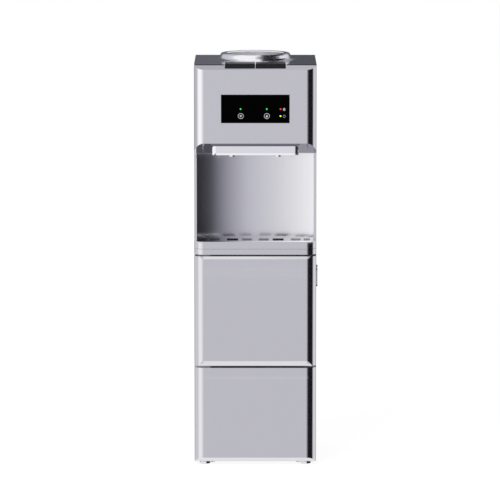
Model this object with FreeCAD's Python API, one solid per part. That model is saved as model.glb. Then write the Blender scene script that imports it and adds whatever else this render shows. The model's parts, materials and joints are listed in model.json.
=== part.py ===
"""Floor-standing water dispenser with a bottle on top, a tap niche and a cooled cabinet."""

import FreeCAD
import Part
import math
import os

V = FreeCAD.Vector
X_AXIS, Y_AXIS, Z_AXIS = V(1, 0, 0), V(0, 1, 0), V(0, 0, 1)

# Frame: millimetres, +X right seen from the front, +Y to the back, +Z up, origin on the floor.
# The letter d in names and comments is a distance behind the front face.

# Outer body
WIDTH = 310.0
BODY_DEPTH = 330.0
CORNER_R = 25.0
FRONT_SHELL_DEPTH = 58.0
SHELL_T = 3.0
SHEET_T = 1.0
REAR_FLANGE = 15.0

# Clearances
FIT = 0.3
MOVE_GAP = 0.5
RUN_GAP = 0.05

# Heights of the front
BODY_BOTTOM = 12.0
PANEL_CHAMFER_H = 12.6
PANEL_CHAMFER_D = 20.0
PANEL_BOTTOM = 9.0
PANEL_TOP = 253.5
DOOR_BOTTOM = 258.0
DOOR_TOP = 539.3
DOOR_TOP_CHAMFER_H = 6.8
DOOR_TOP_CHAMFER_D = 2.4
DOOR_BOTTOM_CHAMFER_H = 13.0
DOOR_BOTTOM_CHAMFER_D = 4.7
FASCIA_BOTTOM = 544.0
FASCIA_TOP = 558.0
TRAY_TOP = 577.0
NICHE_TOP = 801.0
LIP_H = 26.0
LIP_D = 22.0
BODY_TOP = 1025.0
TOP_CHAMFER_H = 11.0
TOP_CHAMFER_D = 20.0

# Niche and drip tray
NICHE_DEPTH = 97.0
NICHE_WALL_R = 568.0
NICHE_FRAME_W = 6.5
NICHE_FRAME_D = 24.0
NICHE_WALL_T = 3.0
TRAY_WALL_T = 2.0
TRAY_GRILLE_T = 2.5
GRILLE_SLOT_D = 42.0
GRILLE_SLOT_FRONT = 26.0
GRILLE_SLOT_CENTRES = (21.4, 58.0, 103.0, 131.0)
GRILLE_SLOT_WIDTHS = (25.0, 28.0, 25.0, 16.0)
GRILLE_SLOT_R = 2.0
GRILLE_GROOVE_H = 1.5

# Taps
NOZZLE_X = 58.0
NOZZLE_D = 40.0
NOZZLE_R = 9.0
NOZZLE_BORE_R = 5.0
NOZZLE_DROP = 10.5
TAP_BAR_W = 220.0
TAP_BAR_H = 23.0
TAP_BAR_FRONT = 3.0
TAP_BAR_BEVEL_H = 5.4
TAP_BAR_BEVEL_D = 2.2
TAP_BAR_DROP = 4.0
TAP_BAR_BACK = 52.0
TAP_BAR_END_R = 12.0
VALVE_W = 28.0
VALVE_H = 40.0
VALVE_FRONT = 14.0
VALVE_TOP = 995.0
VALVE_STUB_L = 12.0
PLUNGER_D = 24.0
PLUNGER_R = 4.0
PLUNGER_DEPTH = 18.0
SPRING_R = 7.0
SPRING_WIRE = 1.6

# Push keys
KEY_W = 75.2
KEY_SPLIT = 2.5
KEY_RIB_T = 1.5
KEY_FRONT = 5.5
KEY_BACK = 62.0
KEY_RISE = 3.5
KEY_UNDERSIDE = 1020.0
KEY_PLATE_FRONT_Z = 1016.0
KEY_NOSE_D = 6.5
KEY_LUG = 6.0
KEY_PIVOT_D = 52.0
KEY_PIVOT_Z = 1010.0
KEY_SHAFT_R = 3.0
KEY_EAR_T = 5.0
KEY_EDGE_R = 2.5

# Control panel
GLASS_W = 172.0
GLASS_H = 70.0
GLASS_BOTTOM = 880.0
GLASS_PROUD = 0.6
BOARD_T = 1.6
BOARD_MARGIN = 4.0
LED_R = 2.9
LED_UPPER_Z = 914.7
LED_LOWER_Z = 897.0
LED_UPPER_X = (-37.2, 29.1, 63.7)
LED_LOWER_X = 63.7

# Bottle seat
COLLAR_SETBACK = 4.85
COLLAR_RIM_R = 89.0
COLLAR_BASE_R = 102.5
COLLAR_BORE_R = 72.0
COLLAR_H = 16.0
COLLAR_FLARE_H = 6.0
COLLAR_LEAN = 2.5
COLLAR_EDGE = 2.5
COLLAR_SKIRT = 10.0
COLLAR_SKIRT_T = 14.0
COVER_T = 3.0
FUNNEL_T = 3.0
FUNNEL_SPOUT_R = 18.0
FUNNEL_SPOUT_BOTTOM = 965.0
FUNNEL_CONE_BOTTOM = 985.0
SPIKE_R = 9.0
SPIKE_TOP = 1012.0

# Door and hinges
DOOR_BACK = 46.0
DOOR_LINER_T = 3.0
HINGE_PIN_R = 4.0
HINGE_PIN_L = 18.0
HINGE_PLATE_T = 2.5
HINGE_PLATE_W = 32.0
HINGE_FLANGE_H = 11.0
HINGE_NOSE = 11.0
GASKET_W = 14.0
GRIP_L = 55.0
GRIP_W = 12.0
GRIP_PROUD = 3.0
GRIP_TOP = 514.0
GRIP_FRONT = 27.0

# Cabinet
CABINET_HALF_W = 112.0
CABINET_BOTTOM = 280.0
CABINET_TOP = 520.0
CABINET_WALL_T = 2.5
FOAM_T = 40.0
REAR_DUCT = 45.0
SHELF_Z = 395.0
SHELF_T = 4.0
SHELF_LEDGE = 6.0
SHELF_FRONT_INSET = 12.0
RAIL_H = 11.0
RAIL_T = 2.0

# Tanks and shelf
TANK_SHELF_Z = 826.0
TANK_SHELF_T = 2.0
TANK_SHELF_HALF_W = 90.0
COLD_TANK_R = 70.0
COLD_TANK_TOP = 973.0
COLD_TANK_T = 1.5
FOAM_CUP_R = 95.0
FOAM_CUP_BORE_R = 80.0
FOAM_CUP_FLOOR = 15.0
FOAM_CUP_TOP = 990.0
COIL_TUBE_R = 3.5
COIL_TURNS = 7
COIL_PITCH = 11.0
COIL_BOTTOM = 882.0
HOSE_R = 6.0
HOSE_ROOM = 1.0
HOSE_BEND_R = 12.0
COLD_OUTLET_Z = 862.0
HOT_TANK_R = 55.0
HOT_TANK_BOTTOM = 560.0
HOT_TANK_H = 160.0
HOT_TANK_T = 1.5
HOT_TANK_FOOT_R = 8.0
FEED_X = -20.0
FEED_INLET_Z = 590.0
HOSE_CROSS_Z = 770.0

# Cooling plant
COMPRESSOR_X = 25.0
COMPRESSOR_REAR_INSET = 115.0
COMPRESSOR_R = 70.0
COMPRESSOR_H = 150.0
COMPRESSOR_PLATE_W = 170.0
COMPRESSOR_PLATE_D = 110.0
COMPRESSOR_PLATE_T = 3.0
GROMMET_R = 9.0
GROMMET_H = 9.0
BASE_T = 2.0
BASE_RIM_H = 18.0
CONDENSER_HALF_W = 122.0
CONDENSER_BOTTOM = 340.0
CONDENSER_RUNS = 14
CONDENSER_PITCH = 44.0
CONDENSER_TUBE_R = 2.5
CONDENSER_STANDOFF = 6.0
CONDENSER_WIRE_R = 0.8
CONDENSER_WIRES = 26
CONDENSER_INLET_X = 40.0
CONDENSER_INLET_Z = 124.5
CONDENSER_ELBOW_R = 6.0
LOUVRE_ROWS = 9
LOUVRE_PITCH = 16.0
LOUVRE_BOTTOM = 50.0
LOUVRE_W = 110.0
LOUVRE_H = 5.0
LOUVRE_X = 65.0

# Rear fittings
REAR_FITTING_Z = 285.0
SWITCH_X = 80.0
SWITCH_PITCH = 26.0
SWITCH_R = 9.0
SWITCH_W = 16.0
SWITCH_BEZEL_T = 3.0
SWITCH_BEZEL_MARGIN = 4.0
SWITCH_BODY_L = 18.0
SWITCH_DISH = 12.0
INLET_X = -80.0
INLET_W = 27.0
INLET_H = 20.0
INLET_WALL = 3.0
INLET_L = 22.0
INLET_PIN_W = 2.0
INLET_PIN_H = 4.0
INLET_PIN_PITCH = 7.0
DRAIN_R = 8.0
DRAIN_BORE_R = 5.0
DRAIN_L = 6.0
DRAIN_FLANGE_R = 14.0
DRAIN_FLANGE_T = 3.0
DRAIN_TAIL_L = 22.0
CAP_R = 12.0
CAP_END_T = 3.0
CAP_RIBS = 10
CAP_RIB_R = 1.4

# Feet and screws
FOOT_INSET = 26.5
FOOT_FRONT_D = 42.0
FOOT_REAR_INSET = 30.0
FOOT_R = 13.5
FOOT_H = 8.0
FOOT_STEM_R = 4.0
FOOT_STEM_L = 22.0
FOOT_COLLAR_R = 8.0
STUB_INSET = 46.5
STUB_R = 5.0
STUB_BOTTOM = 4.0
SCREW_HEAD_R = 4.0
SCREW_HEAD_H = 2.2
SCREW_R = 2.0
SCREW_L = 8.0
SCREW_ROWS = 5
SCREW_MARGIN = 60.0

# Values worked out from those above
HALF_W = WIDTH / 2
INNER_HALF_W = HALF_W - SHEET_T
PANEL_REAR_D = BODY_DEPTH - SHEET_T
CONDENSER_D = PANEL_REAR_D + CONDENSER_STANDOFF + CONDENSER_TUBE_R
OVERALL_DEPTH = CONDENSER_D + CONDENSER_TUBE_R + 2 * CONDENSER_WIRE_R
FRONT_Y = -OVERALL_DEPTH / 2
FRAME_D = FRONT_SHELL_DEPTH + FIT
HINGE_X = -HALF_W + CORNER_R
HINGE_D = CORNER_R
CABINET_FLANGE_BOTTOM = PANEL_TOP + 3.0
CABINET_FLANGE_TOP = DOOR_TOP + 2.0
CABINET_FRONT = FRAME_D + CABINET_WALL_T
FOAM_TOP = CABINET_FLANGE_TOP
TANK_BOTTOM = TANK_SHELF_Z + TANK_SHELF_T + FOAM_CUP_FLOOR
COVER_BOTTOM = BODY_TOP - COVER_T
NICHE_HALF_W = HALF_W - NICHE_FRAME_W
NICHE_FLOOR = FASCIA_TOP
UPSTAND_D = FRAME_D + TANK_SHELF_T
COLLAR_D = (UPSTAND_D + BODY_DEPTH) / 2 + COLLAR_SETBACK
HOSE_DROP_D = COLLAR_D - math.sqrt(FOAM_CUP_R**2 - NOZZLE_X**2) - 2 * HOSE_R
COLD_OUTLET_D = HOSE_DROP_D + HOSE_BEND_R + 1.0
FOAM_BACK = BODY_DEPTH - REAR_DUCT
CABINET_BACK = FOAM_BACK - FOAM_T
COMPRESSOR_D = BODY_DEPTH - COMPRESSOR_REAR_INSET
FOOT_X = HALF_W - FOOT_INSET
FOOT_REAR_D = BODY_DEPTH - FOOT_REAR_INSET
STUB_X = HALF_W - STUB_INSET
VALVE_BOTTOM = VALVE_TOP - VALVE_H
GLASS_TOP = GLASS_BOTTOM + GLASS_H
SIGNS = (-1, 1)


def at(x, d, z):
    """Point in the frame from a distance d behind the front face."""
    return V(x, FRONT_Y + d, z)


def box(x0, x1, d0, d1, z0, z1):
    return Part.makeBox(x1 - x0, d1 - d0, z1 - z0, at(x0, d0, z0))


def rod(radius, start, end):
    """Round bar between two points."""
    run = end - start
    return Part.makeCylinder(radius, run.Length, start, run)


def pipe_ring(outer, inner, start, end):
    """Round tube between two points."""
    run = (end - start).normalize()
    return rod(outer, start, end).cut(rod(inner, start - run, end + run))


def prism(profile, x0, x1):
    """Outline of (d, z) points, extruded along X."""
    points = [at(x0, d, z) for d, z in profile]
    face = Part.Face(Part.makePolygon(points + points[:1]))
    return face.extrude(X_AXIS * (x1 - x0))


def front_block(half_w, front, back, z0, z1, radius):
    """Upright block whose two front edges are rounded."""
    bend = radius * (1 - math.sqrt(0.5))
    left, right = -half_w, half_w
    edges = [
        Part.LineSegment(at(left, back, z0), at(left, front + radius, z0)),
        Part.Arc(
            at(left, front + radius, z0),
            at(left + bend, front + bend, z0),
            at(left + radius, front, z0),
        ),
        Part.LineSegment(at(left + radius, front, z0), at(right - radius, front, z0)),
        Part.Arc(
            at(right - radius, front, z0),
            at(right - bend, front + bend, z0),
            at(right, front + radius, z0),
        ),
        Part.LineSegment(at(right, front + radius, z0), at(right, back, z0)),
        Part.LineSegment(at(right, back, z0), at(left, back, z0)),
    ]
    face = Part.Face(Part.Wire([edge.toShape() for edge in edges]))
    return face.extrude(Z_AXIS * (z1 - z0))


def slanted_block(half_w, front, back, z0, z1, radius, low=(0, 0), high=(0, 0)):
    """Front block with a planar cut (height, depth) along its lower and upper front edge."""
    block = front_block(half_w, front, back, z0, z1, radius)
    reach = half_w + 1
    for level, way, (height, depth) in ((z0, 1, low), (z1, -1, high)):
        if height:
            near, far = front - depth / 2, front + depth * 3 / 2
            beyond = level - way * height / 2
            cut = [(near, level + way * height * 3 / 2), (far, beyond), (near, beyond)]
            block = block.cut(prism(cut, -reach, reach))
    return block


def turned(profile, centre_d):
    """Solid turned about a vertical line from (radius, z) points."""
    points = [at(r, centre_d, z) for r, z in profile]
    face = Part.Face(Part.makePolygon(points + points[:1]))
    return face.revolve(at(0, centre_d, 0), Z_AXIS, 360)


def bent_path(points, radii):
    """Straight runs joined by tangent arcs, with one radius for each inner point."""
    edges = []
    start = points[0]
    for before, corner, after, bend_r in zip(points, points[1:], points[2:], radii):
        arrive = (corner - before).normalize()
        leave = (after - corner).normalize()
        turn = arrive.getAngle(leave)
        trim = bend_r * math.tan(turn / 2)
        enter, exit_ = corner - arrive * trim, corner + leave * trim
        inward = (leave - arrive).normalize()
        middle = corner + inward * (bend_r / math.cos(turn / 2) - bend_r)
        if (enter - start).Length > 1e-6:
            edges.append(Part.LineSegment(start, enter).toShape())
        edges.append(Part.Arc(enter, middle, exit_).toShape())
        start = exit_
    edges.append(Part.LineSegment(start, points[-1]).toShape())
    return Part.Wire(edges)


def sweep(path, radius):
    """Round bar along a path."""
    first = path.Edges[0]
    start = first.valueAt(first.FirstParameter)
    heading = first.tangentAt(first.FirstParameter)
    ring = Part.Wire(Part.makeCircle(radius, start, heading))
    return path.makePipeShell([ring], True, False)


def joined(shapes):
    """One solid from several touching ones."""
    return shapes[0].fuse(shapes[1:]).removeSplitter()


def hollow_front(back, z0, z1, low, high, open_bottom=False, open_top=False):
    """Front shell: a rounded block, its walls SHELL_T thick, open at the back."""
    outer = slanted_block(HALF_W, 0, back, z0, z1, CORNER_R, low, high)
    floor = z0 - 1 if open_bottom else z0 + SHELL_T
    roof = z1 + 1 if open_top else z1 - SHELL_T
    inner = slanted_block(
        HALF_W - SHELL_T,
        SHELL_T,
        back + 1,
        floor,
        roof,
        CORNER_R - SHELL_T,
        (0, 0) if open_bottom else low,
        (0, 0) if open_top else high,
    )
    return outer.cut(inner)


def upper_front_housing():
    shell = hollow_front(
        FRONT_SHELL_DEPTH, NICHE_TOP, BODY_TOP, (LIP_H, LIP_D), (TOP_CHAMFER_H, TOP_CHAMFER_D)
    )
    cover_seat = box(-HALF_W, HALF_W, TOP_CHAMFER_D, BODY_DEPTH, COVER_BOTTOM, BODY_TOP)
    window = box(
        -GLASS_W / 2 - FIT, GLASS_W / 2 + FIT, -1, SHELL_T + 1, GLASS_BOTTOM - FIT, GLASS_TOP + FIT
    )
    cuts = [cover_seat, window] + key_openings(KEY_FRONT - 1, FRONT_SHELL_DEPTH)
    for side in SIGNS:
        x = side * NOZZLE_X
        cuts.append(
            rod(NOZZLE_R + FIT, at(x, NOZZLE_D, NICHE_TOP - 1), at(x, NOZZLE_D, NICHE_TOP + LIP_H))
        )
    return shell.cut(cuts)


def key_openings(front, back):
    """Room for each key through the top of the shells, with a thin rib left between them."""
    near, far = KEY_RIB_T / 2, KEY_W + KEY_SPLIT / 2 + MOVE_GAP
    low, high = KEY_PIVOT_Z - 2 * KEY_LUG, BODY_TOP + 1
    return [box(-far, -near, front, back, low, high), box(near, far, front, back, low, high)]


def top_cover():
    plate = box(-HALF_W, HALF_W, TOP_CHAMFER_D, BODY_DEPTH, COVER_BOTTOM, BODY_TOP)
    round_back = [edge for edge in plate.Edges if is_upright_back_edge(edge)]
    plate = plate.makeFillet(SHELL_T, round_back)
    collar_hole = rod(
        COLLAR_BORE_R + COLLAR_SKIRT_T + FIT, at(0, COLLAR_D, COVER_BOTTOM - 1), at(0, COLLAR_D, BODY_TOP + 1)
    )
    return plate.cut([collar_hole] + key_openings(TOP_CHAMFER_D - 1, KEY_BACK + MOVE_GAP))


def is_upright_back_edge(edge):
    ends = [vertex.Point for vertex in edge.Vertexes]
    at_back = all(abs(p.y - FRONT_Y - BODY_DEPTH) < 1e-6 for p in ends)
    return at_back and abs(ends[0].z - ends[1].z) > 1e-6


def bottle_collar():
    top = BODY_TOP + COLLAR_H
    flare_top = BODY_TOP + COLLAR_FLARE_H
    skirt_r = COLLAR_BORE_R + COLLAR_SKIRT_T
    profile = [
        (COLLAR_BORE_R, BODY_TOP - COLLAR_SKIRT),
        (skirt_r, BODY_TOP - COLLAR_SKIRT),
        (skirt_r, BODY_TOP),
        (COLLAR_BASE_R, BODY_TOP),
        (COLLAR_RIM_R + 2 * COLLAR_LEAN, flare_top - COLLAR_EDGE),
        (COLLAR_RIM_R + COLLAR_LEAN, flare_top),
        (COLLAR_RIM_R, top - COLLAR_EDGE),
        (COLLAR_RIM_R - COLLAR_EDGE, top),
        (COLLAR_BORE_R + COLLAR_EDGE, top),
        (COLLAR_BORE_R, top - COLLAR_EDGE),
    ]
    return turned(profile, COLLAR_D)


def bottle_funnel():
    rim_r = COLLAR_BORE_R + COLLAR_SKIRT_T
    rim_top = BODY_TOP - COLLAR_SKIRT
    rim_bottom = rim_top - FUNNEL_T
    cone_r = COLLAR_BORE_R - FUNNEL_T
    profile = [
        (cone_r, rim_top),
        (rim_r, rim_top),
        (rim_r, rim_bottom),
        (cone_r, rim_bottom),
        (FUNNEL_SPOUT_R, FUNNEL_CONE_BOTTOM - FUNNEL_T),
        (FUNNEL_SPOUT_R, FUNNEL_SPOUT_BOTTOM),
        (FUNNEL_SPOUT_R - FUNNEL_T, FUNNEL_SPOUT_BOTTOM),
        (FUNNEL_SPOUT_R - FUNNEL_T, FUNNEL_CONE_BOTTOM),
    ]
    return turned(profile, COLLAR_D)


def feed_spike():
    """Spike that opens the bottle's cap, on a rib across the funnel's spout."""
    foot = FUNNEL_CONE_BOTTOM - FUNNEL_SPOUT_R
    spike = rod(SPIKE_R, at(0, COLLAR_D, foot), at(0, COLLAR_D, SPIKE_TOP - SPIKE_R))
    tip = Part.makeCone(SPIKE_R, SPIKE_R / 3, SPIKE_R, at(0, COLLAR_D, SPIKE_TOP - SPIKE_R))
    reach = math.sqrt((FUNNEL_SPOUT_R - FUNNEL_T) ** 2 - (FUNNEL_T / 2) ** 2) - FIT / 3
    rib = box(-reach, reach, COLLAR_D - FUNNEL_T / 2, COLLAR_D + FUNNEL_T / 2, foot, FUNNEL_CONE_BOTTOM)
    return joined([spike, tip, rib])


def control_glass():
    pane = box(-GLASS_W / 2, GLASS_W / 2, -GLASS_PROUD, SHELL_T, GLASS_BOTTOM, GLASS_TOP)
    face_y = FRONT_Y - GLASS_PROUD
    front = [edge for edge in pane.Edges if abs(edge.BoundBox.YMax - face_y) < 1e-6]
    pane = pane.makeChamfer(GLASS_PROUD / 2, front)
    return pane.cut([led_window(x, z, FIT / 3) for x, z in led_places()])


def led_places():
    return [(x, LED_UPPER_Z) for x in LED_UPPER_X] + [(LED_LOWER_X, LED_LOWER_Z)]


def led_window(x, z, room):
    return rod(LED_R + room, at(x, -GLASS_PROUD - room, z), at(x, SHELL_T + room, z))


def status_leds():
    return Part.makeCompound([led_window(x, z, 0) for x, z in led_places()])


def display_board():
    half = GLASS_W / 2 - BOARD_MARGIN
    low, high = GLASS_BOTTOM + BOARD_MARGIN, GLASS_TOP - BOARD_MARGIN
    return box(-half, half, SHELL_T, SHELL_T + BOARD_T, low, high)


def tap_bar():
    lip_slope = LIP_D / LIP_H
    bottom = NICHE_TOP - TAP_BAR_DROP
    top = bottom + TAP_BAR_H
    profile = [
        (TAP_BAR_FRONT, top),
        (TAP_BAR_FRONT, bottom),
        (TAP_BAR_BACK, bottom),
        (TAP_BAR_BACK, NICHE_TOP),
        (LIP_D, NICHE_TOP),
        ((NICHE_TOP + LIP_H - top) * lip_slope, top),
    ]
    bar = prism(profile, -TAP_BAR_W / 2, TAP_BAR_W / 2)
    bevel = (TAP_BAR_BEVEL_H, TAP_BAR_BEVEL_D)
    plan = slanted_block(TAP_BAR_W / 2, TAP_BAR_FRONT, TAP_BAR_BACK, bottom, top, TAP_BAR_END_R, bevel)
    holes = []
    for side in SIGNS:
        x = side * NOZZLE_X
        holes.append(rod(NOZZLE_R + FIT, at(x, NOZZLE_D, bottom - 1), at(x, NOZZLE_D, top)))
    return bar.common(plan).cut(holes)


def nozzle(side):
    x = side * NOZZLE_X
    return pipe_ring(
        NOZZLE_R, NOZZLE_BORE_R, at(x, NOZZLE_D, NICHE_TOP - NOZZLE_DROP), at(x, NOZZLE_D, VALVE_BOTTOM)
    )


def tap_valve(side):
    x = side * NOZZLE_X
    back = UPSTAND_D - TANK_SHELF_T
    body = box(x - VALVE_W / 2, x + VALVE_W / 2, VALVE_FRONT, back, VALVE_BOTTOM, VALVE_TOP)
    inlet_z = (VALVE_BOTTOM + VALVE_TOP) / 2
    stub_end = UPSTAND_D + VALVE_STUB_L
    inlet = rod(HOSE_R, at(x, back, inlet_z), at(x, stub_end, inlet_z))
    well_foot = VALVE_TOP - PLUNGER_DEPTH - SPRING_R
    well = rod(PLUNGER_R + RUN_GAP, at(x, PLUNGER_D, well_foot), at(x, PLUNGER_D, VALVE_TOP + 1))
    outlet = rod(NOZZLE_BORE_R, at(x, NOZZLE_D, VALVE_BOTTOM - 1), at(x, NOZZLE_D, inlet_z))
    return joined([body, inlet]).cut([well, outlet])


def valve_plunger(side):
    x = side * NOZZLE_X
    top = KEY_UNDERSIDE - 2 * MOVE_GAP
    stem = rod(PLUNGER_R, at(x, PLUNGER_D, VALVE_TOP - PLUNGER_DEPTH), at(x, PLUNGER_D, top))
    rim = [edge for edge in stem.Edges if abs(edge.BoundBox.ZMin - top) < 1e-6]
    return stem.makeFillet(PLUNGER_R / 3, rim)


def key_spring(side):
    x = side * NOZZLE_X
    return pipe_ring(
        SPRING_R, SPRING_R - SPRING_WIRE, at(x, PLUNGER_D, VALVE_TOP), at(x, PLUNGER_D, KEY_UNDERSIDE - FIT)
    )


def push_key(side):
    top = BODY_TOP + KEY_RISE
    nose = KEY_FRONT + KEY_NOSE_D
    lug_bottom = KEY_PIVOT_Z - KEY_LUG
    profile = [
        (KEY_FRONT, KEY_PLATE_FRONT_Z),
        (nose, top - MOVE_GAP),
        (KEY_BACK, top),
        (KEY_BACK, KEY_UNDERSIDE),
        (KEY_PIVOT_D + KEY_LUG, lug_bottom),
        (KEY_PIVOT_D - KEY_LUG, lug_bottom),
        (KEY_PIVOT_D - 2 * KEY_LUG, KEY_UNDERSIDE),
        (nose + SHELL_T, KEY_UNDERSIDE),
        (KEY_FRONT + SHELL_T, KEY_PLATE_FRONT_Z - SHELL_T / 2),
    ]
    near, far = KEY_SPLIT / 2, KEY_SPLIT / 2 + KEY_W
    x0, x1 = (near, far) if side > 0 else (-far, -near)
    key = prism(profile, x0, x1)
    outer = x1 if side > 0 else x0
    rounded = [edge for edge in key.Edges if is_upper_side_edge(edge, outer)]
    key = key.makeFillet(KEY_EDGE_R, rounded)
    bore = rod(
        KEY_SHAFT_R + RUN_GAP, at(x0 - 1, KEY_PIVOT_D, KEY_PIVOT_Z), at(x1 + 1, KEY_PIVOT_D, KEY_PIVOT_Z)
    )
    return key.cut(bore)


def is_upper_side_edge(edge, x):
    box_of = edge.BoundBox
    on_side = abs(box_of.XMin - x) < 1e-3 and abs(box_of.XMax - x) < 1e-3
    return on_side and box_of.ZMin > KEY_PLATE_FRONT_Z - 1e-3 and box_of.ZMax > KEY_UNDERSIDE + 1e-3


def key_ear_span():
    """Distances from the middle to the inner and outer face of the pivot ears."""
    inner = KEY_W + KEY_SPLIT / 2 + 2 * MOVE_GAP
    return inner, inner + KEY_EAR_T


def key_pivot_shaft():
    reach = key_ear_span()[1]
    return rod(KEY_SHAFT_R, at(-reach, KEY_PIVOT_D, KEY_PIVOT_Z), at(reach, KEY_PIVOT_D, KEY_PIVOT_Z))


def niche_curve(radius, z0, z1):
    """Upright cylinder whose back is the curved wall of the niche."""
    centre = NICHE_DEPTH - NICHE_WALL_R
    return rod(radius, at(0, centre, z0), at(0, centre, z1))


def niche_liner():
    cheeks = box(-HALF_W, HALF_W, NICHE_FRAME_D, FRAME_D, FASCIA_TOP, NICHE_TOP)
    half = NICHE_HALF_W + NICHE_WALL_T
    low, high = NICHE_FLOOR - NICHE_WALL_T, NICHE_TOP + NICHE_WALL_T
    deep = box(-half, half, FRAME_D, NICHE_DEPTH + 2 * NICHE_WALL_T, low, high)
    deep = deep.common(niche_curve(NICHE_WALL_R + NICHE_WALL_T, low, high))
    room = box(-NICHE_HALF_W, NICHE_HALF_W, 0, NICHE_DEPTH + 1, NICHE_FLOOR, NICHE_TOP)
    room = room.common(niche_curve(NICHE_WALL_R, NICHE_FLOOR, NICHE_TOP))
    return joined([cheeks, deep]).cut(room)


def tray_outline(half_w, front, inset, z0, z1):
    """Block that fills the niche floor, inset from its walls."""
    block = box(-half_w + inset, half_w - inset, front + inset, NICHE_DEPTH, z0, z1)
    return block.common(niche_curve(NICHE_WALL_R - MOVE_GAP - inset, z0, z1))


def tray_end_depth(half_w):
    """How far back the tray reaches at its two ends, where the niche's wall comes forward."""
    centre = NICHE_DEPTH - NICHE_WALL_R
    return centre + math.sqrt((NICHE_WALL_R - MOVE_GAP) ** 2 - half_w**2)


def drip_tray():
    low = FASCIA_TOP + MOVE_GAP
    basin_top = TRAY_TOP - TRAY_GRILLE_T
    back = NICHE_FRAME_D - MOVE_GAP
    front = front_block(HALF_W, 0, 2 * CORNER_R, low, TRAY_TOP, CORNER_R)
    front = front.cut(box(-HALF_W, HALF_W, back, 2 * CORNER_R + 1, low, TRAY_TOP))
    half = NICHE_HALF_W - MOVE_GAP
    basin = tray_outline(half, back - TRAY_WALL_T, 0, low, basin_top)
    ledge = tray_end_depth(half) - TRAY_WALL_T
    well_half = half - TRAY_WALL_T
    well = box(-well_half, well_half, back + TRAY_WALL_T, ledge, low + TRAY_WALL_T, TRAY_TOP)
    seat = tray_outline(half, back, 0, basin_top, TRAY_TOP)
    return joined([front, basin]).cut([well, seat])


def drip_grille():
    front = NICHE_FRAME_D - MOVE_GAP + FIT
    bottom = TRAY_TOP - TRAY_GRILLE_T
    half = NICHE_HALF_W - MOVE_GAP
    plate = tray_outline(half, front, 0, bottom, TRAY_TOP)
    slots = []
    for centre, width in zip(GRILLE_SLOT_CENTRES, GRILLE_SLOT_WIDTHS):
        is_drain = abs(centre - NOZZLE_X) < width / 2
        floor = bottom - 1 if is_drain else TRAY_TOP - GRILLE_GROOVE_H
        for side in SIGNS:
            x = side * centre
            near, far = GRILLE_SLOT_FRONT, GRILLE_SLOT_FRONT + GRILLE_SLOT_D
            slot = box(x - width / 2, x + width / 2, near, far, floor, TRAY_TOP + 1)
            upright = [edge for edge in slot.Edges if edge.BoundBox.ZLength > 1e-6]
            slots.append(slot.makeFillet(GRILLE_SLOT_R, upright))
    return plate.cut(slots)


def tray_fascia():
    return hollow_front(FRONT_SHELL_DEPTH, FASCIA_BOTTOM, FASCIA_TOP, (0, 0), (0, 0), open_bottom=True)


def lower_front_panel():
    shell = hollow_front(
        FRONT_SHELL_DEPTH, PANEL_BOTTOM, PANEL_TOP, (PANEL_CHAMFER_H, PANEL_CHAMFER_D), (0, 0)
    )
    inner = HALF_W - SHELL_T
    floor_hole = box(
        -inner, inner, PANEL_CHAMFER_D + SHELL_T, BODY_DEPTH, PANEL_BOTTOM - 1, BODY_BOTTOM + FIT
    )
    x0, x1 = hinge_plate_span()
    flange_slot = box(
        x0 - FIT, x1 + FIT, FRAME_D - HINGE_PLATE_T - FIT, BODY_DEPTH, PANEL_TOP - SHELL_T - 1, PANEL_TOP + 1
    )
    return shell.cut([floor_hole, flange_slot])


def hinge_plate_span():
    return HINGE_X - HINGE_PLATE_W / 2, HINGE_X + HINGE_PLATE_W / 2


def hinge_bracket(plate_z, flange_way, pin_end):
    """Plate under or over the door with a flange on the rail and a pin in the door."""
    x0, x1 = hinge_plate_span()
    plate = box(x0, x1, HINGE_D - HINGE_NOSE, FRAME_D, plate_z, plate_z + HINGE_PLATE_T)
    flange_z = plate_z + HINGE_PLATE_T / 2 + flange_way * HINGE_FLANGE_H / 2
    flange = box(
        x0, x1, FRAME_D - HINGE_PLATE_T, FRAME_D, flange_z - HINGE_FLANGE_H / 2, flange_z + HINGE_FLANGE_H / 2
    )
    pin = rod(HINGE_PIN_R, at(HINGE_X, HINGE_D, plate_z + HINGE_PLATE_T / 2), at(HINGE_X, HINGE_D, pin_end))
    return joined([plate, flange, pin])


def hinge_brackets():
    upper = hinge_bracket(DOOR_TOP + MOVE_GAP, 1, DOOR_TOP - HINGE_PIN_L)
    lower = hinge_bracket(PANEL_TOP, -1, DOOR_BOTTOM + HINGE_PIN_L)
    return Part.makeCompound([upper, lower])


def door_shell():
    shell = hollow_front(
        DOOR_BACK,
        DOOR_BOTTOM,
        DOOR_TOP,
        (DOOR_BOTTOM_CHAMFER_H, DOOR_BOTTOM_CHAMFER_D),
        (DOOR_TOP_CHAMFER_H, DOOR_TOP_CHAMFER_D),
    )
    boss_l = HINGE_PIN_L + SHELL_T
    bosses, bores = [], []
    for end, way in ((DOOR_BOTTOM, 1), (DOOR_TOP, -1)):
        mouth, foot = at(HINGE_X, HINGE_D, end), at(HINGE_X, HINGE_D, end + way * boss_l)
        bosses.append(rod(2 * HINGE_PIN_R, mouth, foot))
        bores.append(rod(HINGE_PIN_R + RUN_GAP, at(HINGE_X, HINGE_D, end - way), foot - Z_AXIS * way))
    return joined([shell] + bosses).cut(bores)


def door_liner():
    inner = HALF_W - SHELL_T
    return box(-inner, inner, DOOR_BACK - DOOR_LINER_T, DOOR_BACK, DOOR_BOTTOM + SHELL_T, DOOR_TOP - SHELL_T)


def door_gasket():
    half = -HINGE_X - 1
    low, high = CABINET_BOTTOM - GASKET_W - 1, CABINET_TOP + GASKET_W + 1
    ring = box(-half, half, DOOR_BACK, FRAME_D - FIT, low, high)
    hole = box(-half + GASKET_W, half - GASKET_W, 0, BODY_DEPTH, low + GASKET_W, high - GASKET_W)
    return ring.cut(hole)


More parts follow.
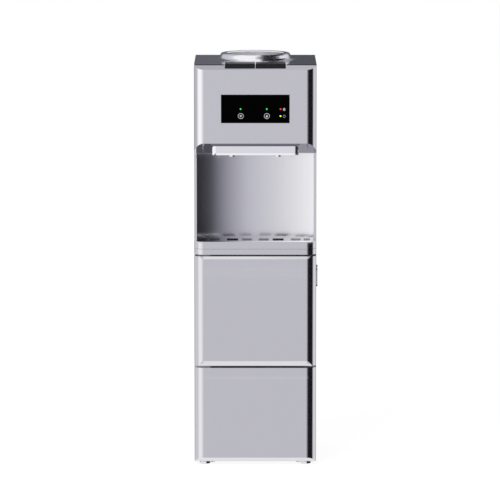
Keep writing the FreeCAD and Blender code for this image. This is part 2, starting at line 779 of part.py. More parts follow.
def door_grip():
    bar = box(HALF_W, HALF_W + GRIP_PROUD, GRIP_FRONT, GRIP_FRONT + GRIP_W, GRIP_TOP - GRIP_L, GRIP_TOP)
    ends = [edge for edge in bar.Edges if edge.BoundBox.XLength > GRIP_PROUD / 2]
    return bar.makeFillet(GRIP_W / 3, ends)


def cabinet_liner():
    half, t = CABINET_HALF_W, CABINET_WALL_T
    flange = box(
        -INNER_HALF_W, INNER_HALF_W, FRAME_D, CABINET_FRONT, CABINET_FLANGE_BOTTOM, CABINET_FLANGE_TOP
    )
    tub = cabinet_tub()
    room = box(-half, half, 0, CABINET_BACK, CABINET_BOTTOM, CABINET_TOP)
    body = joined([flange, tub]).cut(room)
    ledges = []
    for side in SIGNS:
        x0, x1 = sorted((side * (half + t / 2), side * (half - SHELF_LEDGE)))
        ledge = box(x0, x1, CABINET_FRONT + SHELF_FRONT_INSET, CABINET_BACK, SHELF_Z - SHELF_T, SHELF_Z)
        ledges.append(ledge)
    return joined([body] + ledges)


def cabinet_tub():
    """Outside of the cabinet's moulded inside."""
    half, t = CABINET_HALF_W + CABINET_WALL_T, CABINET_WALL_T
    return box(-half, half, FRAME_D, CABINET_BACK + t, CABINET_BOTTOM - t, CABINET_TOP + t)


def cabinet_insulation():
    block = box(
        -INNER_HALF_W, INNER_HALF_W, CABINET_FRONT, FOAM_BACK, CABINET_FLANGE_BOTTOM, CABINET_FLANGE_TOP
    )
    return block.cut(cabinet_tub())


def cabinet_shelf():
    half = CABINET_HALF_W - FIT
    front = CABINET_FRONT + SHELF_FRONT_INSET
    return box(-half, half, front, CABINET_BACK - FIT, SHELF_Z, SHELF_Z + SHELF_T)


def cross_rails():
    rails = []
    for z0, z1 in (
        (CABINET_FLANGE_BOTTOM - RAIL_H, CABINET_FLANGE_BOTTOM),
        (CABINET_FLANGE_TOP, CABINET_FLANGE_TOP + RAIL_H),
    ):
        rails.append(box(-INNER_HALF_W, INNER_HALF_W, FRAME_D, FRAME_D + RAIL_T, z0, z1))
    return Part.makeCompound(rails)


def base_pan():
    tongue = HALF_W - SHELL_T - FIT
    back = PANEL_REAR_D - SHEET_T
    top = BODY_BOTTOM + BASE_T
    pieces = [
        box(-INNER_HALF_W, INNER_HALF_W, FRAME_D, back, BODY_BOTTOM, top),
        box(-tongue, tongue, PANEL_CHAMFER_D + 2 * SHELL_T, FRAME_D, BODY_BOTTOM, top),
    ]
    for side in SIGNS:
        x0, x1 = sorted((side * INNER_HALF_W, side * (INNER_HALF_W - BASE_T)))
        pieces.append(box(x0, x1, FRAME_D, back, BODY_BOTTOM, BODY_BOTTOM + BASE_RIM_H))
        x = side * STUB_X
        pieces.append(rod(STUB_R, at(x, FOOT_FRONT_D, STUB_BOTTOM), at(x, FOOT_FRONT_D, BODY_BOTTOM)))
    holes = []
    for x, d in foot_places():
        holes.append(rod(FOOT_STEM_R + RUN_GAP, at(x, d, 0), at(x, d, top + 1)))
    return joined(pieces).cut(holes)


def foot_places():
    """Left front, right front, left rear and right rear."""
    return [(side * FOOT_X, d) for d in (FOOT_FRONT_D, FOOT_REAR_D) for side in SIGNS]


def levelling_foot(x, d):
    pad = rod(FOOT_R, at(x, d, 0), at(x, d, FOOT_H))
    rims = [edge for edge in pad.Edges if edge.BoundBox.ZLength < 1e-6]
    pad = pad.makeFillet(FOOT_H / 5, rims)
    neck = rod(FOOT_COLLAR_R, at(x, d, FOOT_H / 2), at(x, d, BODY_BOTTOM - FIT))
    stem = rod(FOOT_STEM_R, at(x, d, FOOT_H / 2), at(x, d, FOOT_H + FOOT_STEM_L))
    return joined([pad, neck, stem])


def rear_feet():
    return Part.makeCompound([levelling_foot(x, d) for x, d in foot_places()[2:]])


def side_panel(side):
    back = BODY_DEPTH
    x0, x1 = sorted((side * HALF_W, side * INNER_HALF_W))
    skin = box(x0, x1, FRAME_D, back, BODY_BOTTOM, COVER_BOTTOM)
    x0, x1 = sorted((side * HALF_W, side * (HALF_W - REAR_FLANGE)))
    flange = box(x0, x1, PANEL_REAR_D, back, BODY_BOTTOM, COVER_BOTTOM)
    return joined([skin, flange]).cut(screw_holes())


def screw_places():
    low, high = BODY_BOTTOM + SCREW_MARGIN, COVER_BOTTOM - SCREW_MARGIN
    step = (high - low) / (SCREW_ROWS - 1)
    x = HALF_W - REAR_FLANGE / 2
    return [(side * x, low + row * step) for side in SIGNS for row in range(SCREW_ROWS)]


def screw_holes():
    return [
        rod(SCREW_R + RUN_GAP, at(x, PANEL_REAR_D - 2 * SHEET_T, z), at(x, BODY_DEPTH + 1, z))
        for x, z in screw_places()
    ]


def panel_screws():
    screws = []
    for x, z in screw_places():
        head = rod(SCREW_HEAD_R, at(x, BODY_DEPTH, z), at(x, BODY_DEPTH + SCREW_HEAD_H, z))
        rim = [edge for edge in head.Edges if abs(edge.BoundBox.YMin - FRONT_Y - BODY_DEPTH) > 1]
        head = head.makeFillet(SCREW_HEAD_H / 3, [edge for edge in rim if edge.BoundBox.YLength < 1e-6])
        shank = rod(SCREW_R, at(x, BODY_DEPTH - SCREW_L, z), at(x, BODY_DEPTH, z))
        screws.append(joined([head, shank]))
    return Part.makeCompound(screws)


def rear_panel():
    inner = PANEL_REAR_D - SHEET_T
    half = INNER_HALF_W - FIT
    sheet = box(-half, half, inner, PANEL_REAR_D, BODY_BOTTOM + BASE_T, COVER_BOTTOM)
    cuts = screw_holes()
    for row in range(LOUVRE_ROWS):
        z = LOUVRE_BOTTOM + row * LOUVRE_PITCH
        for side in SIGNS:
            x = side * LOUVRE_X
            cuts.append(box(x - LOUVRE_W / 2, x + LOUVRE_W / 2, inner - 1, BODY_DEPTH, z, z + LOUVRE_H))
    for place in (condenser_inlet_run()[1], condenser_outlet_run()[0]):
        start = at(place.x, inner - 1, place.z)
        cuts.append(rod(CONDENSER_TUBE_R + FIT, start, place))
    body = switch_body_box(FIT)
    socket = inlet_box(FIT, 0)
    drain = rod(DRAIN_R + FIT, at(0, inner - 1, REAR_FITTING_Z), at(0, BODY_DEPTH, REAR_FITTING_Z))
    panel = sheet.cut(cuts + [body, socket, drain])
    return joined([panel] + condenser_standoffs())


def condenser_runs():
    """Heights of the tube's level runs."""
    return [CONDENSER_BOTTOM + row * CONDENSER_PITCH for row in range(CONDENSER_RUNS)]


def condenser_inlet_run():
    """Where the tube leaves the compressor and where it reaches its own plane."""
    aside = abs(CONDENSER_INLET_X - COMPRESSOR_X) - CONDENSER_TUBE_R
    skin = COMPRESSOR_D + math.sqrt(COMPRESSOR_R**2 - aside**2) + FIT
    x, z = CONDENSER_INLET_X, CONDENSER_INLET_Z
    return at(x, skin, z), at(x, CONDENSER_D, z)


def wire_places():
    step = 2 * CONDENSER_HALF_W / (CONDENSER_WIRES - 1)
    return [-CONDENSER_HALF_W + n * step for n in range(CONDENSER_WIRES)]


def between_wires(share):
    """Middle of the wire gap that lies at this share of the condenser's width."""
    places = wire_places()
    n = int(share * (CONDENSER_WIRES - 2))
    return (places[n] + places[n + 1]) / 2


def condenser_outlet_run():
    """Where the tube leaves its own plane at the top and where it ends inside."""
    x, z = between_wires(0.25), condenser_runs()[-1]
    return at(x, CONDENSER_D, z), at(x, FOAM_BACK + 2 * CONDENSER_PITCH / 3, z)


def condenser_tube():
    points = list(condenser_inlet_run())
    points.append(at(CONDENSER_INLET_X, CONDENSER_D, CONDENSER_BOTTOM))
    side = -1
    levels = condenser_runs()
    for z0, z1 in zip(levels, levels[1:]):
        points.append(at(side * CONDENSER_HALF_W, CONDENSER_D, z0))
        points.append(at(side * CONDENSER_HALF_W, CONDENSER_D, z1))
        side = -side
    points.extend(condenser_outlet_run())
    bends = [CONDENSER_PITCH / 2] * (len(points) - 4)
    radii = [CONDENSER_ELBOW_R] + bends + [CONDENSER_ELBOW_R]
    return sweep(bent_path(points, radii), CONDENSER_TUBE_R)


def condenser_wires():
    levels = condenser_runs()
    over = 2 * CONDENSER_STANDOFF
    offset = CONDENSER_TUBE_R + CONDENSER_WIRE_R + RUN_GAP
    wires = []
    for x in wire_places():
        for side in SIGNS:
            d = CONDENSER_D + side * offset
            wires.append(rod(CONDENSER_WIRE_R, at(x, d, levels[0] - over), at(x, d, levels[-1] + over)))
    return Part.makeCompound(wires)


def condenser_standoffs():
    """Posts on the rear panel that carry the tube between its wires."""
    levels = condenser_runs()
    posts = []
    for share in (0.1, 0.9):
        x = between_wires(share)
        for z in (levels[1], levels[len(levels) // 2], levels[-2]):
            start = at(x, PANEL_REAR_D - SHEET_T / 2, z)
            posts.append(rod(CONDENSER_TUBE_R, start, at(x, CONDENSER_D - CONDENSER_TUBE_R - RUN_GAP, z)))
    return posts


def compressor_foot():
    return BODY_BOTTOM + BASE_T + GROMMET_H


def grommet_places():
    reach_x = COMPRESSOR_PLATE_W / 2 - 1.5 * GROMMET_R
    reach_d = COMPRESSOR_PLATE_D / 2 - 1.5 * GROMMET_R
    return [(COMPRESSOR_X + sx * reach_x, COMPRESSOR_D + sd * reach_d) for sx in SIGNS for sd in SIGNS]


def compressor():
    foot = compressor_foot()
    plate_top = foot + COMPRESSOR_PLATE_T
    x, d = COMPRESSOR_X, COMPRESSOR_D
    half_w, half_d = COMPRESSOR_PLATE_W / 2, COMPRESSOR_PLATE_D / 2
    plate = box(x - half_w, x + half_w, d - half_d, d + half_d, foot, plate_top)
    can = rod(COMPRESSOR_R, at(x, d, foot), at(x, d, foot + COMPRESSOR_H))
    crown = [edge for edge in can.Edges if abs(edge.BoundBox.ZMin - foot - COMPRESSOR_H) < 1e-6]
    can = can.makeFillet(COMPRESSOR_R / 2, crown)
    seam_z = foot + COMPRESSOR_H / 2
    seam_r = COMPRESSOR_R + COMPRESSOR_PLATE_T / 3
    seam = rod(seam_r, at(x, d, seam_z), at(x, d, seam_z + COMPRESSOR_PLATE_T))
    return joined([plate, can, seam])


def compressor_mounts():
    low, high = BODY_BOTTOM + BASE_T, compressor_foot()
    return Part.makeCompound([rod(GROMMET_R, at(x, d, low), at(x, d, high)) for x, d in grommet_places()])


def tank_shelf():
    front, back = FRAME_D, PANEL_REAR_D - SHEET_T
    top = TANK_SHELF_Z + TANK_SHELF_T
    plate = box(-INNER_HALF_W, INNER_HALF_W, front, back, TANK_SHELF_Z, top)
    ear_in, ear_out = key_ear_span()
    ear_top, ear_foot = KEY_PIVOT_Z + KEY_LUG, VALVE_TOP - KEY_LUG
    upstand_top = KEY_PIVOT_Z - KEY_LUG - 2 * MOVE_GAP
    pieces = [plate, box(-TANK_SHELF_HALF_W, TANK_SHELF_HALF_W, front, UPSTAND_D, TANK_SHELF_Z, upstand_top)]
    cuts = []
    inlet_z = (VALVE_BOTTOM + VALVE_TOP) / 2
    for side in SIGNS:
        x0, x1 = sorted((side * ear_in, side * ear_out))
        pieces.append(box(x0, x1, KEY_PIVOT_D - KEY_LUG, UPSTAND_D, ear_foot, ear_top))
        x = side * NOZZLE_X
        cuts.append(rod(HOSE_R + FIT, at(x, front - 1, inlet_z), at(x, UPSTAND_D + 1, inlet_z)))
    shaft_ends = [at(side * (ear_out + 1), KEY_PIVOT_D, KEY_PIVOT_Z) for side in SIGNS]
    cuts.append(rod(KEY_SHAFT_R + RUN_GAP, *shaft_ends))
    for x, d in ((NOZZLE_X, HOSE_DROP_D), (FEED_X, COLLAR_D)):
        cuts.append(rod(HOSE_R + FIT, at(x, d, TANK_SHELF_Z - 1), at(x, d, top + 1)))
    return joined(pieces).cut(cuts)


def cold_tank():
    can = rod(COLD_TANK_R, at(0, COLLAR_D, TANK_BOTTOM), at(0, COLLAR_D, COLD_TANK_TOP))
    outlet_end = at(-NOZZLE_X, COLD_OUTLET_D, COLD_OUTLET_Z)
    outlet = rod(HOSE_R, outlet_end, at(-NOZZLE_X, COLLAR_D, COLD_OUTLET_Z))
    feed_end = at(FEED_X, COLLAR_D, TANK_BOTTOM - FOAM_CUP_FLOOR)
    feed = rod(HOSE_R, feed_end, at(FEED_X, COLLAR_D, TANK_BOTTOM + 1))
    room = rod(
        COLD_TANK_R - COLD_TANK_T,
        at(0, COLLAR_D, TANK_BOTTOM + COLD_TANK_T),
        at(0, COLLAR_D, COLD_TANK_TOP - COLD_TANK_T),
    )
    under_lid = at(0, COLLAR_D, COLD_TANK_TOP - 2 * COLD_TANK_T)
    mouth = rod(FUNNEL_SPOUT_R + FIT, under_lid, at(0, COLLAR_D, BODY_TOP))
    return joined([can, outlet, feed]).cut([room, mouth])


def cold_tank_insulation():
    foot = TANK_SHELF_Z + TANK_SHELF_T
    cup = rod(FOAM_CUP_R, at(0, COLLAR_D, foot), at(0, COLLAR_D, FOAM_CUP_TOP))
    room = rod(FOAM_CUP_BORE_R, at(0, COLLAR_D, TANK_BOTTOM), at(0, COLLAR_D, COLD_TANK_TOP + FIT))
    lid_hole = Part.makeCone(
        FUNNEL_SPOUT_R + 2 * FUNNEL_T,
        FUNNEL_SPOUT_R + FOAM_CUP_FLOOR + 2 * FUNNEL_T,
        FOAM_CUP_TOP - COLD_TANK_TOP + 2,
        at(0, COLLAR_D, COLD_TANK_TOP - 1),
    )
    hole_r = HOSE_R + HOSE_ROOM
    outlet = rod(hole_r, at(-NOZZLE_X, 0, COLD_OUTLET_Z), at(-NOZZLE_X, COLLAR_D, COLD_OUTLET_Z))
    feed = rod(hole_r, at(FEED_X, COLLAR_D, foot - 1), at(FEED_X, COLLAR_D, TANK_BOTTOM + 1))
    return cup.cut([room, lid_hole, outlet, feed])


def coil_point(turns):
    radius = COLD_TANK_R + COIL_TUBE_R + FIT
    angle = 2 * math.pi * turns
    return at(radius * math.cos(angle), COLLAR_D + radius * math.sin(angle), COIL_BOTTOM + COIL_PITCH * turns)


def evaporator_coil():
    quarters = 4 * COIL_TURNS
    edges = []
    for n in range(quarters):
        ends = [coil_point(turn) for turn in (n / 4, (n + 0.5) / 4, (n + 1) / 4)]
        edges.append(Part.Arc(*ends).toShape())
    return sweep(Part.Wire(edges), COIL_TUBE_R)


def coil_gap():
    """Least gap between neighbouring turns, measured on points of the winding."""
    samples = [coil_point(n / 48) for n in range(48 * COIL_TURNS + 1)]
    near = min((a - b).Length for i, a in enumerate(samples) for b in samples[i + 24 :])
    return near - 2 * COIL_TUBE_R


def round_can(radius, z0, z1, edge_r):
    """Upright can over the hot tank's axis, with rounded rims."""
    can = rod(radius, at(NOZZLE_X, COLLAR_D, z0), at(NOZZLE_X, COLLAR_D, z1))
    rims = [edge for edge in can.Edges if edge.BoundBox.ZLength < 1e-6]
    return can.makeFillet(edge_r, rims)


def hot_tank():
    low, high, t = HOT_TANK_BOTTOM, HOT_TANK_BOTTOM + HOT_TANK_H, HOT_TANK_T
    can = round_can(HOT_TANK_R, low, high, HOT_TANK_FOOT_R)
    room = round_can(HOT_TANK_R - t, low + t, high - t, HOT_TANK_FOOT_R - t)
    legs = []
    for n in range(3):
        angle = 2 * math.pi * n / 3
        reach = HOT_TANK_R / 2
        x, d = NOZZLE_X + reach * math.cos(angle), COLLAR_D + reach * math.sin(angle)
        legs.append(rod(HOT_TANK_FOOT_R, at(x, d, FOAM_TOP), at(x, d, low + t / 2)))
    return joined([can] + legs).cut(room)


def valve_inlet(side):
    return at(side * NOZZLE_X, UPSTAND_D + VALVE_STUB_L, (VALVE_BOTTOM + VALVE_TOP) / 2)


def hose(points):
    return sweep(bent_path(points, [HOSE_BEND_R] * (len(points) - 2)), HOSE_R)


def cold_hose():
    start, end = valve_inlet(-1), at(-NOZZLE_X, COLD_OUTLET_D, COLD_OUTLET_Z)
    points = [start, at(start.x, HOSE_DROP_D, start.z), at(start.x, HOSE_DROP_D, end.z), end]
    return hose(points)


def hot_hose():
    start = valve_inlet(1)
    top = HOT_TANK_BOTTOM + HOT_TANK_H
    points = [
        start,
        at(start.x, HOSE_DROP_D, start.z),
        at(start.x, HOSE_DROP_D, HOSE_CROSS_Z),
        at(start.x, COLLAR_D, HOSE_CROSS_Z),
        at(start.x, COLLAR_D, top),
    ]
    return hose(points)


def feed_hose():
    points = [
        at(FEED_X, COLLAR_D, TANK_BOTTOM - FOAM_CUP_FLOOR),
        at(FEED_X, COLLAR_D, FEED_INLET_Z),
        at(NOZZLE_X - HOT_TANK_R - FIT, COLLAR_D, FEED_INLET_Z),
    ]
    return hose(points)


def switch_body_box(room):
    """Part of the switch block that passes through the rear panel."""
    half = SWITCH_PITCH / 2 + SWITCH_W / 2 + SHELL_T + room
    low, high = REAR_FITTING_Z - SWITCH_R - 2 - room, REAR_FITTING_Z + SWITCH_R + 2 + room
    return box(SWITCH_X - half, SWITCH_X + half, PANEL_REAR_D - SWITCH_BODY_L, PANEL_REAR_D, low, high)


def rocker_barrel(x, radius, half_w):
    ends = [at(x + side * half_w, PANEL_REAR_D, REAR_FITTING_Z) for side in SIGNS]
    return rod(radius, *ends)


def rocker_places():
    return [SWITCH_X + side * SWITCH_PITCH / 2 for side in SIGNS]


def rear_switch_frame():
    body = switch_body_box(0)
    edge = SWITCH_BEZEL_MARGIN
    limits = body.BoundBox
    bezel = Part.makeBox(
        limits.XLength + 2 * edge,
        SWITCH_BEZEL_T,
        limits.ZLength + 2 * edge,
        V(limits.XMin - edge, FRONT_Y + PANEL_REAR_D, limits.ZMin - edge),
    )
    rooms = [rocker_barrel(x, SWITCH_R + FIT, SWITCH_W / 2 + FIT) for x in rocker_places()]
    return joined([body, bezel]).cut(rooms)


def rocker(x):
    barrel = rocker_barrel(x, SWITCH_R, SWITCH_W / 2)
    valley, crest = PANEL_REAR_D + SWITCH_BEZEL_T + 1, PANEL_REAR_D + SWITCH_R + 1
    low, high = REAR_FITTING_Z - SWITCH_DISH, REAR_FITTING_Z + SWITCH_DISH
    notch = [(valley, REAR_FITTING_Z), (crest, low), (crest, high)]
    return barrel.cut(prism(notch, x - SWITCH_W, x + SWITCH_W))


def inlet_box(room, proud):
    half_w, half_h = INLET_W / 2 + INLET_WALL + room, INLET_H / 2 + INLET_WALL + room
    low, high = REAR_FITTING_Z - half_h, REAR_FITTING_Z + half_h
    return box(INLET_X - half_w, INLET_X + half_w, PANEL_REAR_D - INLET_L, PANEL_REAR_D + proud, low, high)


def mains_inlet():
    body = inlet_box(0, INLET_WALL)
    rim_w, rim_h = INLET_W / 2 + 2 * INLET_WALL, INLET_H / 2 + 2 * INLET_WALL
    mouth_d = PANEL_REAR_D + INLET_WALL
    low, high = REAR_FITTING_Z - rim_h, REAR_FITTING_Z + rim_h
    rim = box(INLET_X - rim_w, INLET_X + rim_w, PANEL_REAR_D, mouth_d, low, high)
    floor_d = PANEL_REAR_D - INLET_L + INLET_WALL
    half_w, half_h = INLET_W / 2, INLET_H / 2
    low, high = REAR_FITTING_Z - half_h, REAR_FITTING_Z + half_h
    socket = box(INLET_X - half_w, INLET_X + half_w, floor_d, mouth_d + 1, low, high)
    pins = []
    for n in (-1, 0, 1):
        x = INLET_X + n * INLET_PIN_PITCH
        z = REAR_FITTING_Z + (1 - abs(n)) * INLET_PIN_H / 2
        pin = box(
            x - INLET_PIN_W / 2,
            x + INLET_PIN_W / 2,
            floor_d - 1,
            PANEL_REAR_D - INLET_WALL,
            z - INLET_PIN_H / 2,
            z + INLET_PIN_H / 2,
        )
        pins.append(pin)
    return joined([joined([body, rim]).cut(socket)] + pins)


def drain_line(d):
    return at(0, d, REAR_FITTING_Z)


def drain_outlet():
    seat = PANEL_REAR_D + DRAIN_FLANGE_T
    tail = rod(DRAIN_R, drain_line(PANEL_REAR_D - DRAIN_TAIL_L), drain_line(seat + DRAIN_L))
    flange = rod(DRAIN_FLANGE_R, drain_line(PANEL_REAR_D), drain_line(seat))
    bore = rod(DRAIN_BORE_R, drain_line(PANEL_REAR_D - DRAIN_TAIL_L - 1), drain_line(seat + DRAIN_L + 1))
    return joined([tail, flange]).cut(bore)


def drain_cap():
    mouth = PANEL_REAR_D + DRAIN_FLANGE_T + MOVE_GAP
    floor = PANEL_REAR_D + DRAIN_FLANGE_T + DRAIN_L + MOVE_GAP
    end = floor + CAP_END_T
    cup = rod(CAP_R, drain_line(mouth), drain_line(end))
    ribs = []
    for n in range(CAP_RIBS):
        angle = 2 * math.pi * n / CAP_RIBS
        shift = V(CAP_R * math.cos(angle), 0, CAP_R * math.sin(angle))
        ribs.append(rod(CAP_RIB_R, drain_line(mouth) + shift, drain_line(end) + shift))
    return joined([cup] + ribs).cut(rod(DRAIN_R + RUN_GAP, drain_line(mouth - 1), drain_line(floor)))


def all_parts():
    """Every piece by its node's name."""
    left_front, right_front = foot_places()[:2]
    cooling_x, heating_x = rocker_places()
    return {
        "base_pan": base_pan(),
        "left_side_panel": side_panel(-1),
        "right_side_panel": side_panel(1),
        "rear_panel": rear_panel(),
        "panel_screws": panel_screws(),
        "cross_rails": cross_rails(),
        "upper_front_housing": upper_front_housing(),
        "top_cover": top_cover(),
        "bottle_collar": bottle_collar(),
        "bottle_funnel": bottle_funnel(),
        "feed_spike": feed_spike(),
        "control_glass": control_glass(),
        "status_leds": status_leds(),
        "display_board": display_board(),
        "tap_bar": tap_bar(),
        "cold_nozzle": nozzle(-1),
        "hot_nozzle": nozzle(1),
        "cold_tap_valve": tap_valve(-1),
        "hot_tap_valve": tap_valve(1),
        "cold_valve_plunger": valve_plunger(-1),
        "hot_valve_plunger": valve_plunger(1),
        "cold_key_spring": key_spring(-1),
        "hot_key_spring": key_spring(1),
        "cold_key": push_key(-1),
        "hot_key": push_key(1),
        "key_pivot_shaft": key_pivot_shaft(),
        "niche_liner": niche_liner(),
        "drip_tray": drip_tray(),
        "drip_grille": drip_grille(),
        "tray_fascia": tray_fascia(),
        "lower_front_panel": lower_front_panel(),
        "hinge_brackets": hinge_brackets(),
        "door_shell": door_shell(),
        "door_liner": door_liner(),
        "door_gasket": door_gasket(),
        "door_grip": door_grip(),
        "cabinet_liner": cabinet_liner(),
        "cabinet_insulation": cabinet_insulation(),
        "cabinet_shelf": cabinet_shelf(),
        "tank_shelf": tank_shelf(),
        "cold_tank": cold_tank(),
        "cold_tank_insulation": cold_tank_insulation(),
        "evaporator_coil": evaporator_coil(),
        "hot_tank": hot_tank(),
        "cold_hose": cold_hose(),
        "hot_hose": hot_hose(),
        "feed_hose": feed_hose(),
        "compressor": compressor(),
        "compressor_mounts": compressor_mounts(),
        "condenser_tube": condenser_tube(),
        "condenser_wires": condenser_wires(),
        "rear_switch_frame": rear_switch_frame(),
        "cooling_rocker": rocker(cooling_x),
        "heating_rocker": rocker(heating_x),
        "mains_inlet": mains_inlet(),
        "drain_outlet": drain_outlet(),
        "drain_cap": drain_cap(),
        "left_front_foot": levelling_foot(*left_front),
        "right_front_foot": levelling_foot(*right_front),
        "rear_feet": rear_feet(),
    }


def main():
    os.makedirs("parts", exist_ok=True)
    for name, shape in all_parts().items():
        shape.exportStep("parts/" + name + ".step")
    print("least gap of the evaporator coil to itself, mm:", round(coil_gap(), 2))


main()
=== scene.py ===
"""Looks of the bottled-water dispenser: its finishes, the signs on its glass and the studio round it."""

import json
import math

import bmesh
import bpy
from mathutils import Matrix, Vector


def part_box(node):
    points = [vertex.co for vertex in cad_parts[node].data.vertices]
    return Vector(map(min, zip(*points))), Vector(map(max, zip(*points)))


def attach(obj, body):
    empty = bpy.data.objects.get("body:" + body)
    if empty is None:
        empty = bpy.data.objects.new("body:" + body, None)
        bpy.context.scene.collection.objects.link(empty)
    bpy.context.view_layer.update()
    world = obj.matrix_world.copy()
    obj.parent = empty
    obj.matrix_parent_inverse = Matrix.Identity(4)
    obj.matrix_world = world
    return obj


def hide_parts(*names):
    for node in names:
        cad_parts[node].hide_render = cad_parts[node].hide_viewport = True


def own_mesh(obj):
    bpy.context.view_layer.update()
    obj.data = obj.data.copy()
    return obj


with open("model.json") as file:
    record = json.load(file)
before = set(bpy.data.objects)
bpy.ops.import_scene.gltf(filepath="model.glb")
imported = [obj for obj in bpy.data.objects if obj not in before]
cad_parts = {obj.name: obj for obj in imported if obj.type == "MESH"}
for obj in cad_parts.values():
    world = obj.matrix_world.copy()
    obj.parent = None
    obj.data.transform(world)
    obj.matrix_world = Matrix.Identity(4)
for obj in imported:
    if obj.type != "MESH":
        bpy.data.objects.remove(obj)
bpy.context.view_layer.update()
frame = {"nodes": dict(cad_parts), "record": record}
nodes = frame["nodes"]
scene = bpy.context.scene
MM = 0.001


# Colours and nodes

WHITE = (1, 1, 1, 1)
CLOUD_MM = 120


def per_metre(size_mm):
    """Scale of a pattern whose grains or cells have a size in millimetres."""
    return 1000 / size_mm


def linear(hex_colour):
    """Linear colour of an sRGB hex value such as "d0d0d4"."""
    parts = []
    for at in (0, 2, 4):
        value = int(hex_colour[at:at + 2], 16) / 255
        parts.append(value / 12.92 if value <= 0.04045 else ((value + 0.055) / 1.055) ** 2.4)
    return (*parts, 1.0)


def add(tree, kind, settings=None, values=None, links=None):
    """One node with its settings, its sockets' values and what is plugged into it."""
    node = tree.nodes.new(kind)
    for name, value in (settings or {}).items():
        setattr(node, name, value)
    for name, value in (values or {}).items():
        node.inputs[name].default_value = value
    for name, socket in (links or {}).items():
        tree.links.new(socket, node.inputs[name])
    return node


def blank(name):
    """An empty material, its node tree, its Principled shader and its Object coordinates."""
    material = bpy.data.materials.new(name)
    material.use_nodes = True
    tree = material.node_tree
    shader = tree.nodes["Principled BSDF"]
    place = add(tree, "ShaderNodeTexCoord").outputs["Object"]
    return material, tree, shader, place


def two_tone(tree, factor, low, high, start=0.35, end=0.65):
    """Colour that goes from one hex value to the other as the factor rises."""
    ramp = add(tree, "ShaderNodeValToRGB", links={"Fac": factor})
    ramp.color_ramp.elements[0].position = start
    ramp.color_ramp.elements[0].color = linear(low)
    ramp.color_ramp.elements[1].position = end
    ramp.color_ramp.elements[1].color = linear(high)
    return ramp.outputs["Color"]


def grained(name, low, high, grain_mm, rough, bump_mm, metallic=0.0, ior=1.5, stretch=(1, 1, 1)):
    """Finish with a fine grain in its colour and relief and wide clouds in its gloss.

    The gloss wanders between the two values of rough.
    """
    material, tree, shader, place = blank(name)
    placed = add(tree, "ShaderNodeMapping", values={"Scale": stretch}, links={"Vector": place})
    grain = add(
        tree, "ShaderNodeTexNoise", values={"Scale": per_metre(grain_mm), "Detail": 3.0},
        links={"Vector": placed.outputs["Vector"]},
    )
    cloud = add(
        tree, "ShaderNodeTexNoise", values={"Scale": per_metre(CLOUD_MM), "Detail": 2.0},
        links={"Vector": place},
    )
    gloss = add(
        tree, "ShaderNodeMapRange",
        values={"From Min": 0.3, "From Max": 0.7, "To Min": rough[0], "To Max": rough[1]},
        links={"Value": cloud.outputs["Fac"]},
    )
    relief = add(
        tree, "ShaderNodeBump", values={"Strength": 0.5, "Distance": bump_mm * MM},
        links={"Height": grain.outputs["Fac"]},
    )
    tree.links.new(two_tone(tree, grain.outputs["Fac"], low, high), shader.inputs["Base Color"])
    tree.links.new(gloss.outputs["Result"], shader.inputs["Roughness"])
    tree.links.new(relief.outputs["Normal"], shader.inputs["Normal"])
    shader.inputs["Metallic"].default_value = metallic
    if metallic < 0.5:
        shader.inputs["IOR"].default_value = ior
    return material


# Finishes

# Silver lacquer with metal flake over moulded ABS: a soft cool mirror that shows the studio's cards, with
# a faint sparkle. The flake of 0.1 mm is drawn at 1.2 mm, or it would not show.
silver_lacquer = grained("silver_flake_lacquer", "dad9dd", "dfdee2", 1.2, (0.1, 0.13), 0.001, metallic=1.0)

# The same lacquer with a satin top coat in the niche, so that the wall shows no sharp mirror images.
niche_lacquer = grained("satin_silver_lacquer", "dad9dd", "dfdee2", 1.2, (0.17, 0.19), 0.001, metallic=1.0)

# The same lacquer rolled on sheet steel and stoved: a little duller, with a fine orange peel.
side_lacquer = grained(
    "stoved_silver_sheet_steel", "d3d2da", "dad9e0", 2.5, (0.27, 0.33), 0.012, metallic=1.0
)

# Grey powder coat on the back sheet: matt, with a pebbled skin.
rear_coat = grained("grey_powder_coated_steel", "77777b", "838388", 1.6, (0.5, 0.6), 0.05)

# Silver lacquer on the tap bar, painted lighter than the shell for the brighter light off the bar's front;
# its mirror is a little softer.
tap_painted_light_lacquer = grained("silver_lacquer_painted_light", "f8f7fa", "fbfafd", 1.2, (0.14, 0.18), 0.001, metallic=1.0)

# Chromed ABS of the nozzles: a small clean mirror.
nozzle_chrome = grained("chromed_abs_nozzle", "eeeef1", "f4f4f7", 6.0, (0.06, 0.1), 0.002, metallic=1.0)

# Piano-black ABS of the keys, with the light haze of a moulded, wiped surface.
key_abs = grained("black_moulded_abs", "101013", "141418", 0.7, (0.3, 0.36), 0.006, ior=1.3)

# White high-impact polystyrene of the liners: glossy, slightly uneven from vacuum forming.
liner_styrene = grained(
    "white_vacuum_formed_polystyrene", "e6e6e3", "ededeb", 9.0, (0.22, 0.3), 0.03, ior=1.58
)

# White polypropylene of valves and drain fittings: waxy, with a fine spark-eroded grain.
fitting_pp = grained("white_polypropylene", "d8d8d4", "e2e2de", 0.6, (0.42, 0.52), 0.012, ior=1.49)

# Soft PVC seal: light grey, dull and slightly oily.
seal_pvc = grained("light_grey_soft_pvc", "b9b9b9", "c4c4c3", 1.0, (0.5, 0.62), 0.02, ior=1.53)

# Light grey ABS of the grip from a sand-blasted tool.
grip_abs = grained("grey_textured_abs", "d0d0d6", "d9d9df", 0.7, (0.42, 0.52), 0.02)

# Rigid polyurethane foam: pale yellow with closed cells of about 1.5 mm.
rigid_foam = grained("rigid_polyurethane_foam", "d9c98e", "e8dca8", 1.5, (0.8, 0.9), 0.25)

# Silicone hose: milky, half gloss.
silicone = grained("milky_silicone", "dcdcd8", "e6e6e2", 2.0, (0.34, 0.42), 0.01, ior=1.41)

